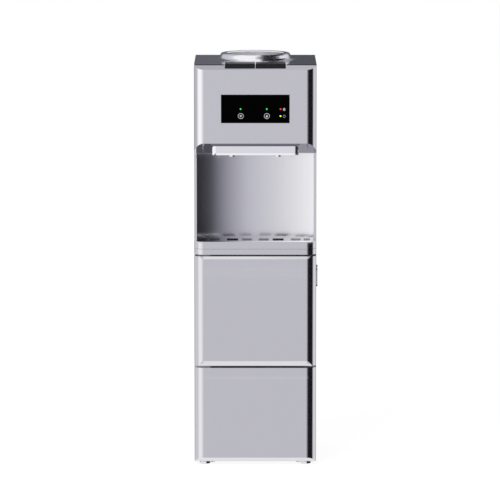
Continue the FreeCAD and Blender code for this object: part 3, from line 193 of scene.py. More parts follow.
# Stainless steel of the tanks, drawn round: fine upright brush lines of about 0.5 mm.
tank_steel = grained(
    "brushed_stainless_steel", "b5b5b4", "cacac9", 0.5, (0.26, 0.34), 0.008, metallic=1.0,
    stretch=(1, 1, 0.04),
)

# Zinc-plated screws and shafts: bright, slightly bluish, with tool marks.
screw_zinc = grained("bright_zinc_plated_steel", "b2b4b8", "c6c8cc", 0.5, (0.24, 0.34), 0.008, metallic=1.0)

# Spring steel wire, oiled.
spring_steel = grained("oiled_spring_steel", "8d8d90", "a2a2a4", 0.4, (0.25, 0.35), 0.006, metallic=1.0)

# Drawn copper tube: warm, with brown tarnish in patches of a few millimetres.
copper = grained("drawn_copper", "a5623f", "c98760", 6.0, (0.26, 0.4), 0.01, metallic=1.0)

# Black enamel on the compressor's pot: thick, glossy, with runs.
pot_enamel = grained("black_stoved_enamel", "0b0b0c", "141416", 3.0, (0.2, 0.32), 0.03)

# Black lacquer on the condenser's steel wire: half matt.
wire_lacquer = grained("black_lacquered_steel", "101012", "1b1b1d", 0.8, (0.4, 0.5), 0.02)

# Black rubber of the compressor's mounts.
mount_rubber = grained("black_rubber", "131313", "1c1c1c", 0.8, (0.65, 0.78), 0.03)

# Black polyamide of the switch frame and the mains inlet.
switch_pa = grained("black_polyamide", "121213", "1a1a1b", 0.6, (0.42, 0.52), 0.012)

# Rocker caps: translucent-looking polycarbonate, one green and one red.
green_rocker = grained("green_polycarbonate", "0f6a2c", "157d38", 1.5, (0.2, 0.26), 0.004, ior=1.58)
red_rocker = grained("red_polycarbonate", "8c0f10", "a11617", 1.5, (0.2, 0.26), 0.004, ior=1.58)

# Circuit board: green solder mask over a fine weave.
solder_mask = grained("green_solder_mask", "0d4a27", "125a31", 0.5, (0.3, 0.38), 0.01)

# Nickel-plated feet: bright, with a fine turned surface.
foot_nickel = grained(
    "turned_nickel_plate", "d8d8db", "e6e6e9", 0.4, (0.1, 0.16), 0.003, metallic=1.0,
    stretch=(0.1, 0.1, 1),
)

# Chromed ABS of the bottle collar: a soft mirror with the slight wave of a moulding.
collar_chrome = grained("chromed_abs", "f0f0f3", "f5f5f8", 14.0, (0.17, 0.2), 0.001, metallic=1.0)


def galvanised_sheet():
    """Zinc-dipped sheet: crystals of about 9 mm, each with its own grey and gloss."""
    material, tree, shader, place = blank("spangled_galvanised_steel")
    crystal = add(tree, "ShaderNodeTexVoronoi", values={"Scale": per_metre(9)}, links={"Vector": place})
    tone = two_tone(tree, crystal.outputs["Color"], "9b9da0", "b9bbbd", 0.1, 0.9)
    gloss = add(
        tree, "ShaderNodeMapRange", values={"To Min": 0.32, "To Max": 0.5},
        links={"Value": crystal.outputs["Color"]},
    )
    tree.links.new(tone, shader.inputs["Base Color"])
    tree.links.new(gloss.outputs["Result"], shader.inputs["Roughness"])
    shader.inputs["Metallic"].default_value = 1.0
    return material


def black_glass():
    """Glass printed black from behind: deep and even, with a wiped film that only shows at a glance."""
    material, tree, shader, place = blank("black_back_printed_glass")
    film = add(
        tree, "ShaderNodeTexNoise", values={"Scale": per_metre(35), "Detail": 4.0},
        links={"Vector": place},
    )
    gloss = add(
        tree, "ShaderNodeMapRange", values={"To Min": 0.03, "To Max": 0.09},
        links={"Value": film.outputs["Fac"]},
    )
    tree.links.new(two_tone(tree, film.outputs["Fac"], "010101", "020203"), shader.inputs["Base Color"])
    tree.links.new(gloss.outputs["Result"], shader.inputs["Roughness"])
    shader.inputs["IOR"].default_value = 1.5
    shader.inputs["Specular IOR Level"].default_value = 0.01
    return material


def shelf_glass():
    """Toughened float glass: clear, faintly green, with a roller wave too weak to see but in reflections."""
    material, tree, shader, place = blank("clear_toughened_glass")
    wave = add(
        tree, "ShaderNodeTexNoise", values={"Scale": per_metre(60), "Detail": 1.0},
        links={"Vector": place},
    )
    relief = add(
        tree, "ShaderNodeBump", values={"Strength": 0.2, "Distance": 0.05 * MM},
        links={"Height": wave.outputs["Fac"]},
    )
    tree.links.new(two_tone(tree, wave.outputs["Fac"], "dff0e9", "e6f4ee"), shader.inputs["Base Color"])
    tree.links.new(relief.outputs["Normal"], shader.inputs["Normal"])
    shader.inputs["Transmission Weight"].default_value = 0.92
    shader.inputs["Roughness"].default_value = 0.02
    shader.inputs["IOR"].default_value = 1.52
    return material


def lamp_lens(name, deep, bright, strength):
    """Dyed acrylic over a diode: a glow that wanders between two tones in patches of 1.5 mm."""
    material, tree, shader, place = blank(name)
    speck = add(tree, "ShaderNodeTexNoise", values={"Scale": per_metre(1.5)}, links={"Vector": place})
    tone = two_tone(tree, speck.outputs["Fac"], deep, bright, 0.2, 0.6)
    tree.links.new(tone, shader.inputs["Base Color"])
    tree.links.new(tone, shader.inputs["Emission Color"])
    shader.inputs["Emission Strength"].default_value = strength
    shader.inputs["Roughness"].default_value = 0.12
    shader.inputs["IOR"].default_value = 1.49
    return material


finishes = {
    "silver_shell": silver_lacquer,
    "niche_satin": niche_lacquer,
    "side_sheet": side_lacquer,
    "rear_sheet": rear_coat,
    "zinc_sheet": galvanised_sheet(),
    "screw_steel": screw_zinc,
    "collar_chrome": collar_chrome,
    "black_glass": black_glass(),
    "board": solder_mask,
    "key_black": key_abs,
    "tap_silver": tap_painted_light_lacquer,
    "nozzle_plastic": nozzle_chrome,
    "valve_plastic": fitting_pp,
    "spring_steel": spring_steel,
    "liner_white": liner_styrene,
    "gasket": seal_pvc,
    "grip": grip_abs,
    "foam": rigid_foam,
    "shelf_glass": shelf_glass(),
    "tank_steel": tank_steel,
    "copper": copper,
    "hose": silicone,
    "compressor_black": pot_enamel,
    "rubber_black": mount_rubber,
    "condenser_black": wire_lacquer,
    "switch_black": switch_pa,
    "rocker_green": green_rocker,
    "rocker_red": red_rocker,
    "drain_plastic": fitting_pp,
    "foot_metal": foot_nickel,
    "led_lens": lamp_lens("smoked_light_pipe", "050505", "0a0a0b", 0.0),
}
for part in frame["record"]["subparts"]:
    slots = nodes[part["node"]].data.materials
    slots.clear()
    slots.append(finishes[part["material_slot"]])


# Pieces on the control glass

GLASS_LOW, GLASS_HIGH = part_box("control_glass")
GLASS_FRONT = GLASS_LOW.y
PRINT = 0.12 * MM
FACING_FRONT = (math.radians(90), 0, 0)
SMOOTH_BELOW = math.radians(50)

# A drop is a disc that narrows above its shoulder, with its topmost point pulled up.
SHOULDER, SHOULDER_WIDTH, TOPMOST = 0.55, 0.55, 0.98


def done(name, material, body="frame"):
    """The active piece with its place in its mesh, its name, finish and body."""
    piece = bpy.context.object
    bpy.ops.object.transform_apply(location=True, rotation=True, scale=True)
    piece.name = name
    piece.data.name = name
    piece.data.materials.clear()
    piece.data.materials.append(material)
    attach(piece, body)
    return piece


def pick(test):
    """Selects the points of the piece in edit mode that pass a test of their place in the object."""
    piece = bpy.context.object
    mesh = bmesh.from_edit_mesh(piece.data)
    bpy.ops.mesh.select_all(action="DESELECT")
    bpy.ops.mesh.select_mode(type="VERT")
    for point in mesh.verts:
        point.select_set(test(piece.matrix_world @ point.co))
    mesh.select_flush(True)
    bmesh.update_edit_mesh(piece.data)


def disc(x, z, radius, corners=48, tall=1.0, tip=0.0):
    """A filled outline on the glass, facing forward, left in edit mode; a tip makes a drop of it."""
    bpy.ops.object.select_all(action="DESELECT")
    bpy.ops.mesh.primitive_circle_add(
        vertices=corners, radius=radius, fill_type="NGON", location=(x, GLASS_FRONT, z), rotation=FACING_FRONT
    )
    bpy.context.object.scale = (1.0, tall, 1.0)
    bpy.ops.object.transform_apply(location=False, rotation=True, scale=True)
    bpy.ops.object.mode_set(mode="EDIT")
    if tip:
        pick(lambda place: place.z > z + radius * tall * SHOULDER)
        bpy.ops.transform.resize(value=(SHOULDER_WIDTH, 1, 1), center_override=(x, GLASS_FRONT, z))
        pick(lambda place: place.z > z + radius * tall * TOPMOST)
        bpy.ops.transform.translate(value=(0, 0, tip))
    bpy.ops.mesh.select_all(action="SELECT")


def raise_print(height=PRINT):
    """Gives the flat outline its print thickness and goes back to object mode."""
    bpy.ops.mesh.extrude_region_move(TRANSFORM_OT_translate={"value": (0, -height, 0)})
    bpy.ops.mesh.select_all(action="SELECT")
    bpy.ops.mesh.normals_make_consistent(inside=False)
    bpy.ops.object.mode_set(mode="OBJECT")


def ring(x, z, radius, stroke, tall=1.0, tip=0.0):
    """A printed ring or the outline of a drop."""
    disc(x, z, radius, tall=tall, tip=tip)
    bpy.ops.mesh.inset(thickness=stroke)
    bpy.ops.mesh.delete(type="FACE")
    bpy.ops.mesh.select_all(action="SELECT")
    raise_print()


# Screen-printed enamel on the glass: off-white, matt, with the faint mesh of the screen.
sign_white = grained("white_screen_print", "c3c3c9", "cfcfd5", 0.5, (0.45, 0.55), 0.01)
sign_grey = grained("grey_screen_print", "94949a", "a0a0a6", 0.5, (0.45, 0.55), 0.01)

# A lamp's lens is a low dome of dyed acrylic in front of its light pipe, with a rim and two rising steps.
LAMP_GLOW = 0.75
LENS_RADIUS, LENS_RIM = 2.0 * MM, 0.25 * MM
LENS_STEPS = ((0.6 * MM, 0.25 * MM), (0.7 * MM, 0.12 * MM))
LAMP_Z, SERVICE_LAMP_Z, RIGHT_LAMP_X = 914.7 * MM, 897 * MM, 63.7 * MM
lenses = {
    "cold_ready_lens": (-37.2 * MM, LAMP_Z, "green_dyed_acrylic", "109a4a", "1cc865"),
    "hot_ready_lens": (29.1 * MM, LAMP_Z, "green_dyed_acrylic_hot", "109a4a", "1cc865"),
    "power_lens": (RIGHT_LAMP_X, LAMP_Z, "red_dyed_acrylic", "c01015", "e01c20"),
    "service_lens": (RIGHT_LAMP_X, SERVICE_LAMP_Z, "yellow_dyed_acrylic", "d8d400", "f4f000"),
}
for lens_name, (x, z, acrylic, deep, bright) in lenses.items():
    disc(x, z, LENS_RADIUS, 32)
    bpy.ops.mesh.extrude_region_move(TRANSFORM_OT_translate={"value": (0, -LENS_RIM, 0)})
    for width, rise in LENS_STEPS:
        bpy.ops.mesh.inset(thickness=width)
        bpy.ops.transform.translate(value=(0, -rise, 0))
    bpy.ops.mesh.select_all(action="SELECT")
    bpy.ops.mesh.normals_make_consistent(inside=False)
    bpy.ops.object.mode_set(mode="OBJECT")
    bpy.ops.object.shade_smooth_by_angle(angle=SMOOTH_BELOW)
    done(lens_name, lamp_lens(acrylic, deep, bright, LAMP_GLOW))

# Signs in rings: a snow star for cold, whose arms lie a little over one another, and a flame for hot.
SIGN_Z, SIGN_RADIUS, SIGN_STROKE = 897 * MM, 7.1 * MM, 1.0 * MM
COLD_X, ARM_REACH, ARM_SLIMNESS, ARM_LIFT = -36.7 * MM, 3.7 * MM, 0.17, 0.1 * PRINT
HOT_X, FLAME_RADIUS, FLAME_TIP, FLAME_DROP = 29.2 * MM, 2.6 * MM, 1.9 * MM, 0.9 * MM
ring(COLD_X, SIGN_Z, SIGN_RADIUS, SIGN_STROKE)
done("cold_sign_ring", sign_white)
for arm in range(3):
    disc(COLD_X, SIGN_Z, ARM_REACH, 24, tall=ARM_SLIMNESS)
    bpy.ops.transform.rotate(
        value=math.radians(30 + 60 * arm), orient_axis="Y", center_override=(COLD_X, GLASS_FRONT, SIGN_Z)
    )
    raise_print(PRINT + arm * ARM_LIFT)
    done(f"cold_sign_arm_{arm + 1}", sign_white)
ring(HOT_X, SIGN_Z, SIGN_RADIUS, SIGN_STROKE)
done("hot_sign_ring", sign_white)
disc(HOT_X, SIGN_Z - FLAME_DROP, FLAME_RADIUS, 32, tip=FLAME_TIP)
raise_print()
done("hot_sign_flame", sign_white)

# Water drops by the two lamps on the right: one half full, one empty.
DROP_X, FULL_DROP_Z, EMPTY_DROP_Z = 73.3 * MM, 914 * MM, 896.6 * MM
DROP_RADIUS, DROP_STROKE, DROP_TALL, DROP_TIP = 3.3 * MM, 0.8 * MM, 1.2, 1.0 * MM
FILL_RADIUS, FILL_SIDE, FILL_PRINT = 3.2 * MM, 0.5 * MM, 0.8 * PRINT
ring(DROP_X, FULL_DROP_Z, DROP_RADIUS, DROP_STROKE, tall=DROP_TALL, tip=DROP_TIP)
done("power_sign_outline", sign_grey)
disc(DROP_X, FULL_DROP_Z, FILL_RADIUS, tall=DROP_TALL, tip=DROP_TIP)
bpy.ops.mesh.bisect(plane_co=(DROP_X + FILL_SIDE, 0, 0), plane_no=(1, 0, 0), clear_outer=True)
bpy.ops.mesh.select_all(action="SELECT")
raise_print(FILL_PRINT)
done("power_sign_fill", sign_white)
ring(DROP_X, EMPTY_DROP_Z, DROP_RADIUS, DROP_STROKE, tall=DROP_TALL, tip=DROP_TIP)
done("service_sign", sign_grey)

# Slim black bezel round the glass, moulded from the same ABS as the keys. It laps over the glass.
BEZEL_WIDE, BEZEL_PROUD, BEZEL_ROUND = 1.3 * MM, 0.6 * MM, 0.5 * MM
BEZEL_X = GLASS_HIGH.x - GLASS_LOW.x + 1.4 * MM
BEZEL_Z = GLASS_HIGH.z - GLASS_LOW.z + 2.2 * MM
bpy.ops.object.select_all(action="DESELECT")
bpy.ops.mesh.primitive_plane_add(
    size=1, location=(0, GLASS_FRONT, (GLASS_LOW.z + GLASS_HIGH.z) / 2), rotation=FACING_FRONT
)
bpy.context.object.scale = (BEZEL_X, BEZEL_Z, 1)
bpy.ops.object.transform_apply(location=False, rotation=True, scale=True)
bpy.ops.object.mode_set(mode="EDIT")
bpy.ops.mesh.select_all(action="SELECT")
bpy.ops.mesh.inset(thickness=BEZEL_WIDE)
bpy.ops.mesh.delete(type="FACE")
bpy.ops.mesh.select_all(action="SELECT")
bpy.ops.mesh.extrude_region_move(TRANSFORM_OT_translate={"value": (0, -BEZEL_PROUD, 0)})
bpy.ops.mesh.select_all(action="SELECT")
bpy.ops.mesh.normals_make_consistent(inside=False)
pick(lambda place: place.y < GLASS_FRONT - BEZEL_PROUD / 2)
bpy.ops.mesh.bevel(offset=BEZEL_ROUND, segments=2, affect="EDGES")
bpy.ops.object.mode_set(mode="OBJECT")
done("glass_bezel", key_abs)


# Pads in the drip grille's shallow grooves, bands on the door's grip, beads in the top's seam: dark pieces
# that paint in shade


def block(name, middle, size, bevel, material, body, test):
    """A small block by its middle and size, bevelled at the points that pass a test."""
    bpy.ops.object.select_all(action="DESELECT")
    bpy.ops.mesh.primitive_cube_add(size=1, location=middle)
    bpy.context.object.scale = size
    bpy.ops.object.transform_apply(location=False, rotation=False, scale=True)
    bpy.ops.object.mode_set(mode="EDIT")
    pick(test)
    bpy.ops.mesh.bevel(offset=bevel, segments=2, affect="EDGES")
    bpy.ops.object.mode_set(mode="OBJECT")
    done(name, material, body)


# Pads of painted shade for the shaded bottoms of the grille's shallow grooves: the tray's silver, darker and
# duller.
groove_shade_silver = grained("groove_painted_shade_silver", "6e6d73", "78777d", 0.8, (0.34, 0.4), 0.004, metallic=1.0)
PAD_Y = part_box("lower_front_panel")[0].y + 47 * MM
PAD_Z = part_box("drip_grille")[1].z - 0.85 * MM
PAD_DEEP, PAD_THICK, PAD_ROUND, PAD_PLAY = 41.4 * MM, 1.3 * MM, 0.4 * MM, 0.6 * MM
GROOVES = ((21.4 * MM, 25 * MM), (103 * MM, 25 * MM), (131 * MM, 16 * MM))
pad_number = 0
for centre, width in GROOVES:
    for side in (-1, 1):
        pad_number += 1
        block(
            f"groove_shade_pad_{pad_number}", (side * centre, PAD_Y, PAD_Z),
            (width - PAD_PLAY, PAD_DEEP, PAD_THICK), PAD_ROUND, groove_shade_silver, "grille",
            lambda place: place.z > PAD_Z,
        )

# Black bands round the grip, just proud of it: painted shade where the grip's ends and its joint lie in
# shadow.
GRIP_LOW, GRIP_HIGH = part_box("door_grip")
GRIP_MIDDLE, GRIP_SIZE = (GRIP_LOW + GRIP_HIGH) / 2, GRIP_HIGH - GRIP_LOW
BAND_SIZE = (GRIP_SIZE.x + 0.5 * MM, GRIP_SIZE.y + 0.6 * MM, 2.6 * MM)
BAND_ROUND = 0.5 * MM
BAND_HEIGHTS = (511.5 * MM, 502.9 * MM, 461.5 * MM)
for band, height in enumerate(BAND_HEIGHTS):
    block(
        f"grip_shade_band_{band + 1}", (GRIP_MIDDLE.x, GRIP_MIDDLE.y, height), BAND_SIZE, BAND_ROUND,
        switch_pa, "door", lambda place: True,
    )

# Black bead along the seam between the top cover and the front housing, on both sides of the keys: painted
# shadow of the gap at the cover's front edge.
COVER_LOW, COVER_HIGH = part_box("top_cover")
KEY_END, SHELL_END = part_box("cold_key")[0].x - 2.5 * MM, COVER_LOW.x + 1.5 * MM
BEAD_Y, BEAD_Z = COVER_LOW.y - 0.7 * MM, COVER_HIGH.z - 0.5 * MM
BEAD_SIZE, BEAD_ROUND = (KEY_END - SHELL_END, 1.4 * MM, 2.4 * MM), 0.4 * MM
for side, bead in ((1, "left_seam_shadow_bead"), (-1, "right_seam_shadow_bead")):
    block(
        bead, (side * (KEY_END + SHELL_END) / 2, BEAD_Y, BEAD_Z), BEAD_SIZE, BEAD_ROUND,
        mount_rubber, "frame", lambda place: True,
    )


# Wound return springs under the keys, in place of the key springs from model.glb, which are hidden

WIRE, WIRE_CORNERS, TURNS, TURN_STEPS = 1.6 * MM, 10, 7, 24
for key in ("cold", "hot"):
    low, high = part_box(f"{key}_key_spring")
    foot = ((low.x + high.x) / 2, (low.y + high.y) / 2, low.z)
    bpy.ops.object.select_all(action="DESELECT")
    bpy.ops.mesh.primitive_circle_add(vertices=WIRE_CORNERS, radius=WIRE / 2, location=foot)
    bpy.ops.object.mode_set(mode="EDIT")
    bpy.ops.mesh.select_all(action="SELECT")
    bpy.ops.transform.rotate(value=math.radians(90), orient_axis="X", center_override=foot)
    bpy.ops.transform.translate(value=((high.x - low.x - WIRE) / 2, 0, WIRE / 2))
    bpy.ops.object.mode_set(mode="OBJECT")
    winding = bpy.context.object.modifiers.new("winding", "SCREW")
    winding.axis = "Z"
    winding.iterations = TURNS
    winding.screw_offset = (high.z - low.z - WIRE) / TURNS
    winding.steps = TURN_STEPS
    winding.render_steps = TURN_STEPS
    bpy.ops.object.modifier_apply(modifier="winding")
    bpy.ops.object.mode_set(mode="EDIT")
    bpy.ops.mesh.select_all(action="SELECT")
    bpy.ops.mesh.fill_holes(sides=0)
    bpy.ops.mesh.select_all(action="SELECT")
    bpy.ops.mesh.normals_make_consistent(inside=False)
    bpy.ops.object.mode_set(mode="OBJECT")
    bpy.ops.object.shade_smooth_by_angle(angle=SMOOTH_BELOW)
    coil = done(f"{key}_return_spring", spring_steel)
    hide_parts(f"{key}_key_spring")
    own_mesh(coil)


# Studio


def shown_white(tree):
    """1 for rays that look at the background straight, in a mirror or through glass."""
    path = add(tree, "ShaderNodeLightPath")
    total = add(
        tree, "ShaderNodeMath", {"operation": "ADD"},
        links={0: path.outputs["Is Camera Ray"], 1: path.outputs["Is Glossy Ray"]},
    )
    return add(
        tree, "ShaderNodeMath", {"operation": "ADD", "use_clamp": True},
        links={0: total.outputs[0], 1: path.outputs["Is Transmission Ray"]},
    ).outputs[0]


# White air where it is seen, and a weaker fill on the object.
AIR_SEEN, AIR_FILL = 1.0, 0.55
world = bpy.data.worlds.new("studio_air")
world.use_nodes = True
scene.world = world
air = world.node_tree
air.nodes.clear()
seen = add(air, "ShaderNodeBackground", values={"Color": WHITE, "Strength": AIR_SEEN})
fill = add(air, "ShaderNodeBackground", values={"Color": WHITE, "Strength": AIR_FILL})
both = add(
    air, "ShaderNodeMixShader", links={0: shown_white(air), 1: fill.outputs[0], 2: seen.outputs[0]}
)
add(air, "ShaderNodeOutputWorld", links={"Surface": both.outputs[0]})

# The floor glows to white where it is seen, and its grey keeps the object's shadow.
FLOOR_SIZE, FLOOR_GREY = 60, (0.2, 0.2, 0.2, 1)
FLOOR_SEEN, FLOOR_FILL = 0.89, 0.4
bpy.ops.object.select_all(action="DESELECT")
bpy.ops.mesh.primitive_plane_add(size=FLOOR_SIZE, location=(0, 0, 0))
floor = bpy.context.object
floor.name = "studio_floor"
paper = bpy.data.materials.new("white_paper")
paper.use_nodes = True
paper_tree = paper.node_tree
paper_shader = paper_tree.nodes["Principled BSDF"]
paper_shader.inputs["Base Color"].default_value = FLOOR_GREY
paper_shader.inputs["Roughness"].default_value = 1.0
paper_shader.inputs["Specular IOR Level"].default_value = 0.0
paper_shader.inputs["Emission Color"].default_value = WHITE
shown = add(
    paper_tree, "ShaderNodeMapRange", values={"To Min": FLOOR_FILL, "To Max": FLOOR_SEEN},
    links={"Value": shown_white(paper_tree)},
)
paper_tree.links.new(shown.outputs["Result"], paper_shader.inputs["Emission Strength"])
floor.data.materials.append(paper)


# Cards that only reflections show

COOLNESS = 0.2
STEP_DEGREES = 2
FAN_X, FAN_Y, FAN_NEAR, FAN_FAR = 0.14, -0.16, 0.03, 5.0
CARD_LOW, AHEAD_TOP, ASIDE_TOP, ASIDE_DEGREES = 3 * MM, 1.9, 6.0, 80
cards = []


def cool_grey(level):
    """Glow of a card: the darker it is, the bluer."""
    return (level, level, level * (1 + COOLNESS * max(0.0, 1 - level)), 1.0)


def card(level, *corners):
    """A glowing card by its four corners."""
    cards.append((corners, level))


def upright(level, start, end, foot, top):
    """A card that stands on the line between two points of the plan, from one height to another."""
    card(level, (*start, foot), (*end, foot), (*end, top), (*start, top))


def flat(level, across, along, height):
    """A level card by its two ends across the object, its two ends along it and its height."""
    (left, right), (start, end) = across, along
    card(level, (left, start, height), (right, start, height), (right, end, height), (left, end, height))


def graded(knots, count=None):
    """Even steps from knot to knot: each step's two ends and the levels in its middle.

    A knot is a place or an angle with its levels. Without a count, a step is about 2 degrees wide.
    """
    for (start, *before), (end, *after) in zip(knots, knots[1:]):
        steps = count or math.ceil((end - start) / STEP_DEGREES)
        for step in range(steps):
            first = start + (end - start) * step / steps
            last = start + (end - start) * (step + 1) / steps
            share = (step + 0.5) / steps
            yield first, last, *(low + (high - low) * share for low, high in zip(before, after))


def fan(side, knots):
    """Cards all round one side: each lies on the floor and stands up at its far end.

    A knot is an angle from the front and the levels of the lying and of the standing card there.
    """

    def spot(reach, angle):
        turn = math.radians(angle)
        return (side * (FAN_X + reach * math.sin(turn)), FAN_Y - reach * math.cos(turn))

    for first, last, lying, standing in graded(knots):
        plan = (spot(FAN_NEAR, first), spot(FAN_NEAR, last), spot(FAN_FAR, last), spot(FAN_FAR, first))
        card(lying, *((*corner, CARD_LOW) for corner in plan))
        top = AHEAD_TOP if last <= ASIDE_DEGREES else ASIDE_TOP
        upright(standing, spot(FAN_FAR, first), spot(FAN_FAR, last), CARD_LOW, top)


def wing(side, x, y, reach, bands, knots):
    """Upright strips round a rounded edge, mostly so close to it that hardly anything else mirrors them.

    A band is its foot, its top and how much of the glow it has; a knot is an angle from the front and a glow.
    """

    def spot(angle):
        turn = math.radians(angle)
        return (x + side * reach * math.sin(turn), y - reach * math.cos(turn))

    for first, last, level in graded(knots):
        for foot, top, share in bands:
            upright(level * share, spot(first), spot(last), foot, top)


# A plain pale studio: grey ahead, lighter beside the object and darker behind it.
fan(1, (
    (4, 0.66, 0.66), (40, 0.66, 0.68), (80, 0.7, 0.7), (88, 0.75, 0.7), (100, 0.88, 0.8), (118, 0.91, 0.8),
    (134, 0.7, 0.7), (152, 0.5, 0.5), (166, 0.36, 0.36), (180, 0.36, 0.36),
))
fan(-1, (
    (4, 0.7, 0.74), (30, 0.76, 0.8), (80, 0.84, 0.84), (92, 0.82, 0.68), (110, 0.77, 0.62), (138, 0.72, 0.6),
    (150, 0.4, 0.4), (160, 0.12, 0.12), (180, 0.1, 0.1),
))
AHEAD_LEFT, AHEAD_RIGHT, AHEAD_MIDDLE = (-0.49, -5.15), (0.49, -5.15), 1.0
card(
    0.68, (-FAN_X, FAN_Y - FAN_NEAR, CARD_LOW), (FAN_X, FAN_Y - FAN_NEAR, CARD_LOW),
    (*AHEAD_RIGHT, CARD_LOW), (*AHEAD_LEFT, CARD_LOW),
)
upright(0.71, AHEAD_LEFT, AHEAD_RIGHT, CARD_LOW, AHEAD_MIDDLE)
upright(0.82, AHEAD_LEFT, AHEAD_RIGHT, AHEAD_MIDDLE, AHEAD_TOP)

# Close beside the front's rounded edges: a black wing on the right and a white one on the left.
EDGE_X, EDGE_Y, EDGE_REACH = 0.13, -0.146, 0.06
DOOR_SPAN, HOUSING_SPAN = (0.0, 0.57), (0.812, 1.03)
wing(1, EDGE_X, EDGE_Y, EDGE_REACH, ((*DOOR_SPAN, 1.0), (*HOUSING_SPAN, 1.0)), (
    (2.5, 0.62), (6, 0.48), (8.5, 0.31), (11, 0.16), (14, 0.07), (18, 0.015), (22, 0.006), (59, 0.008),
    (64, 0.2), (70, 0.7),
))
wing(-1, -EDGE_X, EDGE_Y, EDGE_REACH, ((*DOOR_SPAN, 0.85), (*HOUSING_SPAN, 1.0)), (
    (3, 0.76), (11, 0.9), (17, 1.06), (25, 1.22), (40, 1.3), (52, 1.25), (63, 1.0), (73, 0.72),
))

# The same for the ends of the tap bar and for the two nozzles.
BAR_X, BAR_Y, BAR_REACH, BAR_BANDS = 0.103, -0.161, 0.03, ((0.79, 0.825, 1.0),)
wing(1, BAR_X, BAR_Y, BAR_REACH, BAR_BANDS, ((15, 0.5), (28, 0.01), (95, 0.01), (108, 0.7)))
wing(-1, -BAR_X, BAR_Y, BAR_REACH, BAR_BANDS, ((8, 0.8), (30, 0.94), (95, 0.94), (110, 0.7)))
NOZZLE_X, NOZZLE_Y, NOZZLE_REACH, NOZZLE_BANDS = 0.058, -0.1308, 0.018, ((0.775, 0.797, 1.0),)
NOZZLE_DARK = ((6, 0.6), (12, 0.0), (45, 0.0), (70, 0.3), (95, 0.6))
NOZZLE_BRIGHT = ((4, 0.9), (40, 0.95), (95, 0.8))
for x in (-NOZZLE_X, NOZZLE_X):
    wing(1, x, NOZZLE_Y, NOZZLE_REACH, NOZZLE_BANDS, NOZZLE_DARK)
    wing(-1, x, NOZZLE_Y, NOZZLE_REACH, NOZZLE_BANDS, NOZZLE_BRIGHT)

# In the niche's mouth: dark on the left, bright on the right. The places are millimetres from the middle.
MOUTH_Y, MOUTH_FOOT, MOUTH_TOP, MOUTH_STEPS = -0.14, 0.579, 0.79, 6
shades = (
    (-142, 0.022), (-112, 0.03), (-90, 0.08), (-55, 0.37), (-15, 0.65), (45, 0.84), (125, 1.17), (142, 1.2),
)
for first, last, level in graded(shades, MOUTH_STEPS):
    upright(level, (first * MM, MOUTH_Y), (last * MM, MOUTH_Y), MOUTH_FOOT, MOUTH_TOP)

# Close under the lip over the niche: dark on the left, grey on the right and over the tap bar.
LIP_ALONG, BAR_TOP = (-0.147, -0.18), 0.8215
flat(0.095, (-0.15, -0.1), LIP_ALONG, MOUTH_TOP)
flat(0.365, (0.1, 0.15), LIP_ALONG, MOUTH_TOP)
flat(0.2, (-0.112, 0.112), LIP_ALONG, BAR_TOP)

# White kickers for the lower bevels of the door and the tap bar, edge-on to what the flat fronts mirror.
for level, half, (near, high), (far, low) in (
    (1.0, 0.15, (-0.1885, 0.225), (-0.2185, 0.2201)),
    (0.9, 0.2, (-0.35, 0.4755), (-0.53, 0.451)),
):
    card(level, (-half, near, high), (half, near, high), (half, far, low), (-half, far, low))

# Close beside the front feet, for the dark right half of each turned foot.
FOOT_GAP, FOOT_BANDS = 4 * MM, ((0.0, 6 * MM, 1.0),)
FOOT_DARK = ((15, 0.3), (22, 0.0), (100, 0.0), (112, 0.5))
for foot in ("left_front_foot", "right_front_foot"):
    low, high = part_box(foot)
    middle = (low + high) / 2
    wing(1, middle.x, middle.y, high.x - middle.x + FOOT_GAP, FOOT_BANDS, FOOT_DARK)

# Dark paper low behind, which the flat top mirrors, and greys overhead for the slopes.
BEHIND_Y, BEHIND_FOOT, BEHIND_TOP = 4, 0.7, 2.3
upright(0.13, (-4, BEHIND_Y), (0, BEHIND_Y), BEHIND_FOOT, BEHIND_TOP)
upright(0.09, (0, BEHIND_Y), (4, BEHIND_Y), BEHIND_FOOT, BEHIND_TOP)
OVERHEAD_ALONG, OVERHEAD_Z = (0.45, 2.4), 3.2
flat(0.56, (-2, 0), OVERHEAD_ALONG, OVERHEAD_Z)
flat(0.65, (0, 2), OVERHEAD_ALONG, OVERHEAD_Z)

# For the collar: black overhead on the right, a pale card close over the far rim and a graded flag before it.
FLAG_Z, RIM_CARD_Z = 3.15, 1.058
card(0.01, (0.45, -1.9, FLAG_Z), (2.6, -1.9, FLAG_Z), (2.6, 2.4, FLAG_Z), (0.33, 2.4, FLAG_Z))
flat(0.88, (-0.07, 0.06), (0.088, 0.12), RIM_CARD_Z)
COLLAR_Y, COLLAR_REACH, COLLAR_BANDS = -0.05, 1.7, ((1.52, 3.1, 1.0),)
wing(1, 0.0, COLLAR_Y, COLLAR_REACH, COLLAR_BANDS, (
    (2, 0.66), (9, 0.52), (17, 0.34), (23, 0.16), (30, 0.06), (36, 0.02), (68, 0.01), (76, 0.04), (85, 0.24),
    (92, 0.42),
))

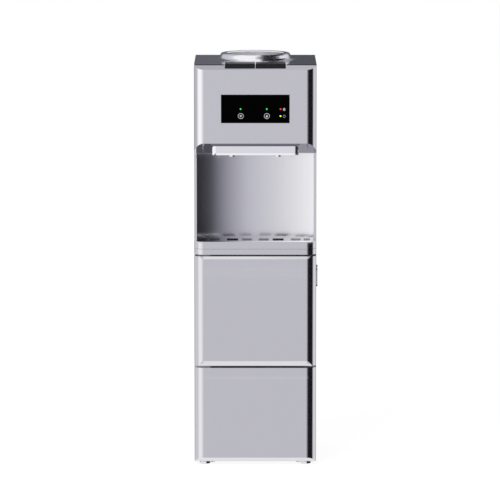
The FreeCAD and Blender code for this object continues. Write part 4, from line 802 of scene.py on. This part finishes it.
surround_mesh = bpy.data.meshes.new("studio_cards")
corners = [spot for outline, level in cards for spot in outline]
surround_mesh.from_pydata(corners, [], [tuple(range(4 * n, 4 * n + 4)) for n in range(len(cards))])
glow = surround_mesh.attributes.new("card_glow", "FLOAT_COLOR", "FACE")
glow.data.foreach_set("color", [part for outline, level in cards for part in cool_grey(level)])
surround = bpy.data.objects.new("studio_cards", surround_mesh)
scene.collection.objects.link(surround)
card_paper = bpy.data.materials.new("lit_card")
card_paper.use_nodes = True
card_tree = card_paper.node_tree
card_tree.nodes.clear()
card_glow = add(card_tree, "ShaderNodeAttribute", {"attribute_name": "card_glow"})
card_light = add(card_tree, "ShaderNodeEmission", links={"Color": card_glow.outputs["Color"]})
add(card_tree, "ShaderNodeOutputMaterial", links={"Surface": card_light.outputs[0]})
surround_mesh.materials.append(card_paper)
surround.visible_camera = False
surround.visible_diffuse = False
surround.visible_transmission = False
surround.visible_shadow = False

# A large soft key light from the upper left, which mirrors don't show.
KEY_PLACE, KEY_TILT, KEY_TURN = (-1.7, -3.0, 2.9), math.radians(54), math.radians(-29)
KEY_SIZE, KEY_WATTS = 2.2, 110
bpy.ops.object.select_all(action="DESELECT")
bpy.ops.object.light_add(type="AREA", location=KEY_PLACE, rotation=(KEY_TILT, 0, KEY_TURN))
key_lamp = bpy.context.object
key_lamp.name = "key_softbox"
key_lamp.data.shape = "SQUARE"
key_lamp.data.size = KEY_SIZE
key_lamp.data.energy = KEY_WATTS
key_lamp.visible_glossy = False

# The camera looks down on the front from far off.
FRONT_Y, CAMERA_AWAY, CAMERA_HIGH, CAMERA_DOWN = -0.1708, 10.1458, 1.8781, 7.424
SENSOR_MM, LENS_MM, SIDE_SHIFT, CLIP_END = 36, 290.68, -0.0106, 200
bpy.ops.object.camera_add(
    location=(0, FRONT_Y - CAMERA_AWAY, CAMERA_HIGH), rotation=(math.radians(90 - CAMERA_DOWN), 0, 0)
)
camera = bpy.context.object
camera.name = "product_camera"
camera.data.sensor_width = SENSOR_MM
camera.data.lens = LENS_MM
camera.data.shift_x = SIDE_SHIFT
camera.data.clip_end = CLIP_END
scene.camera = camera
scene.view_settings.view_transform = "Standard"
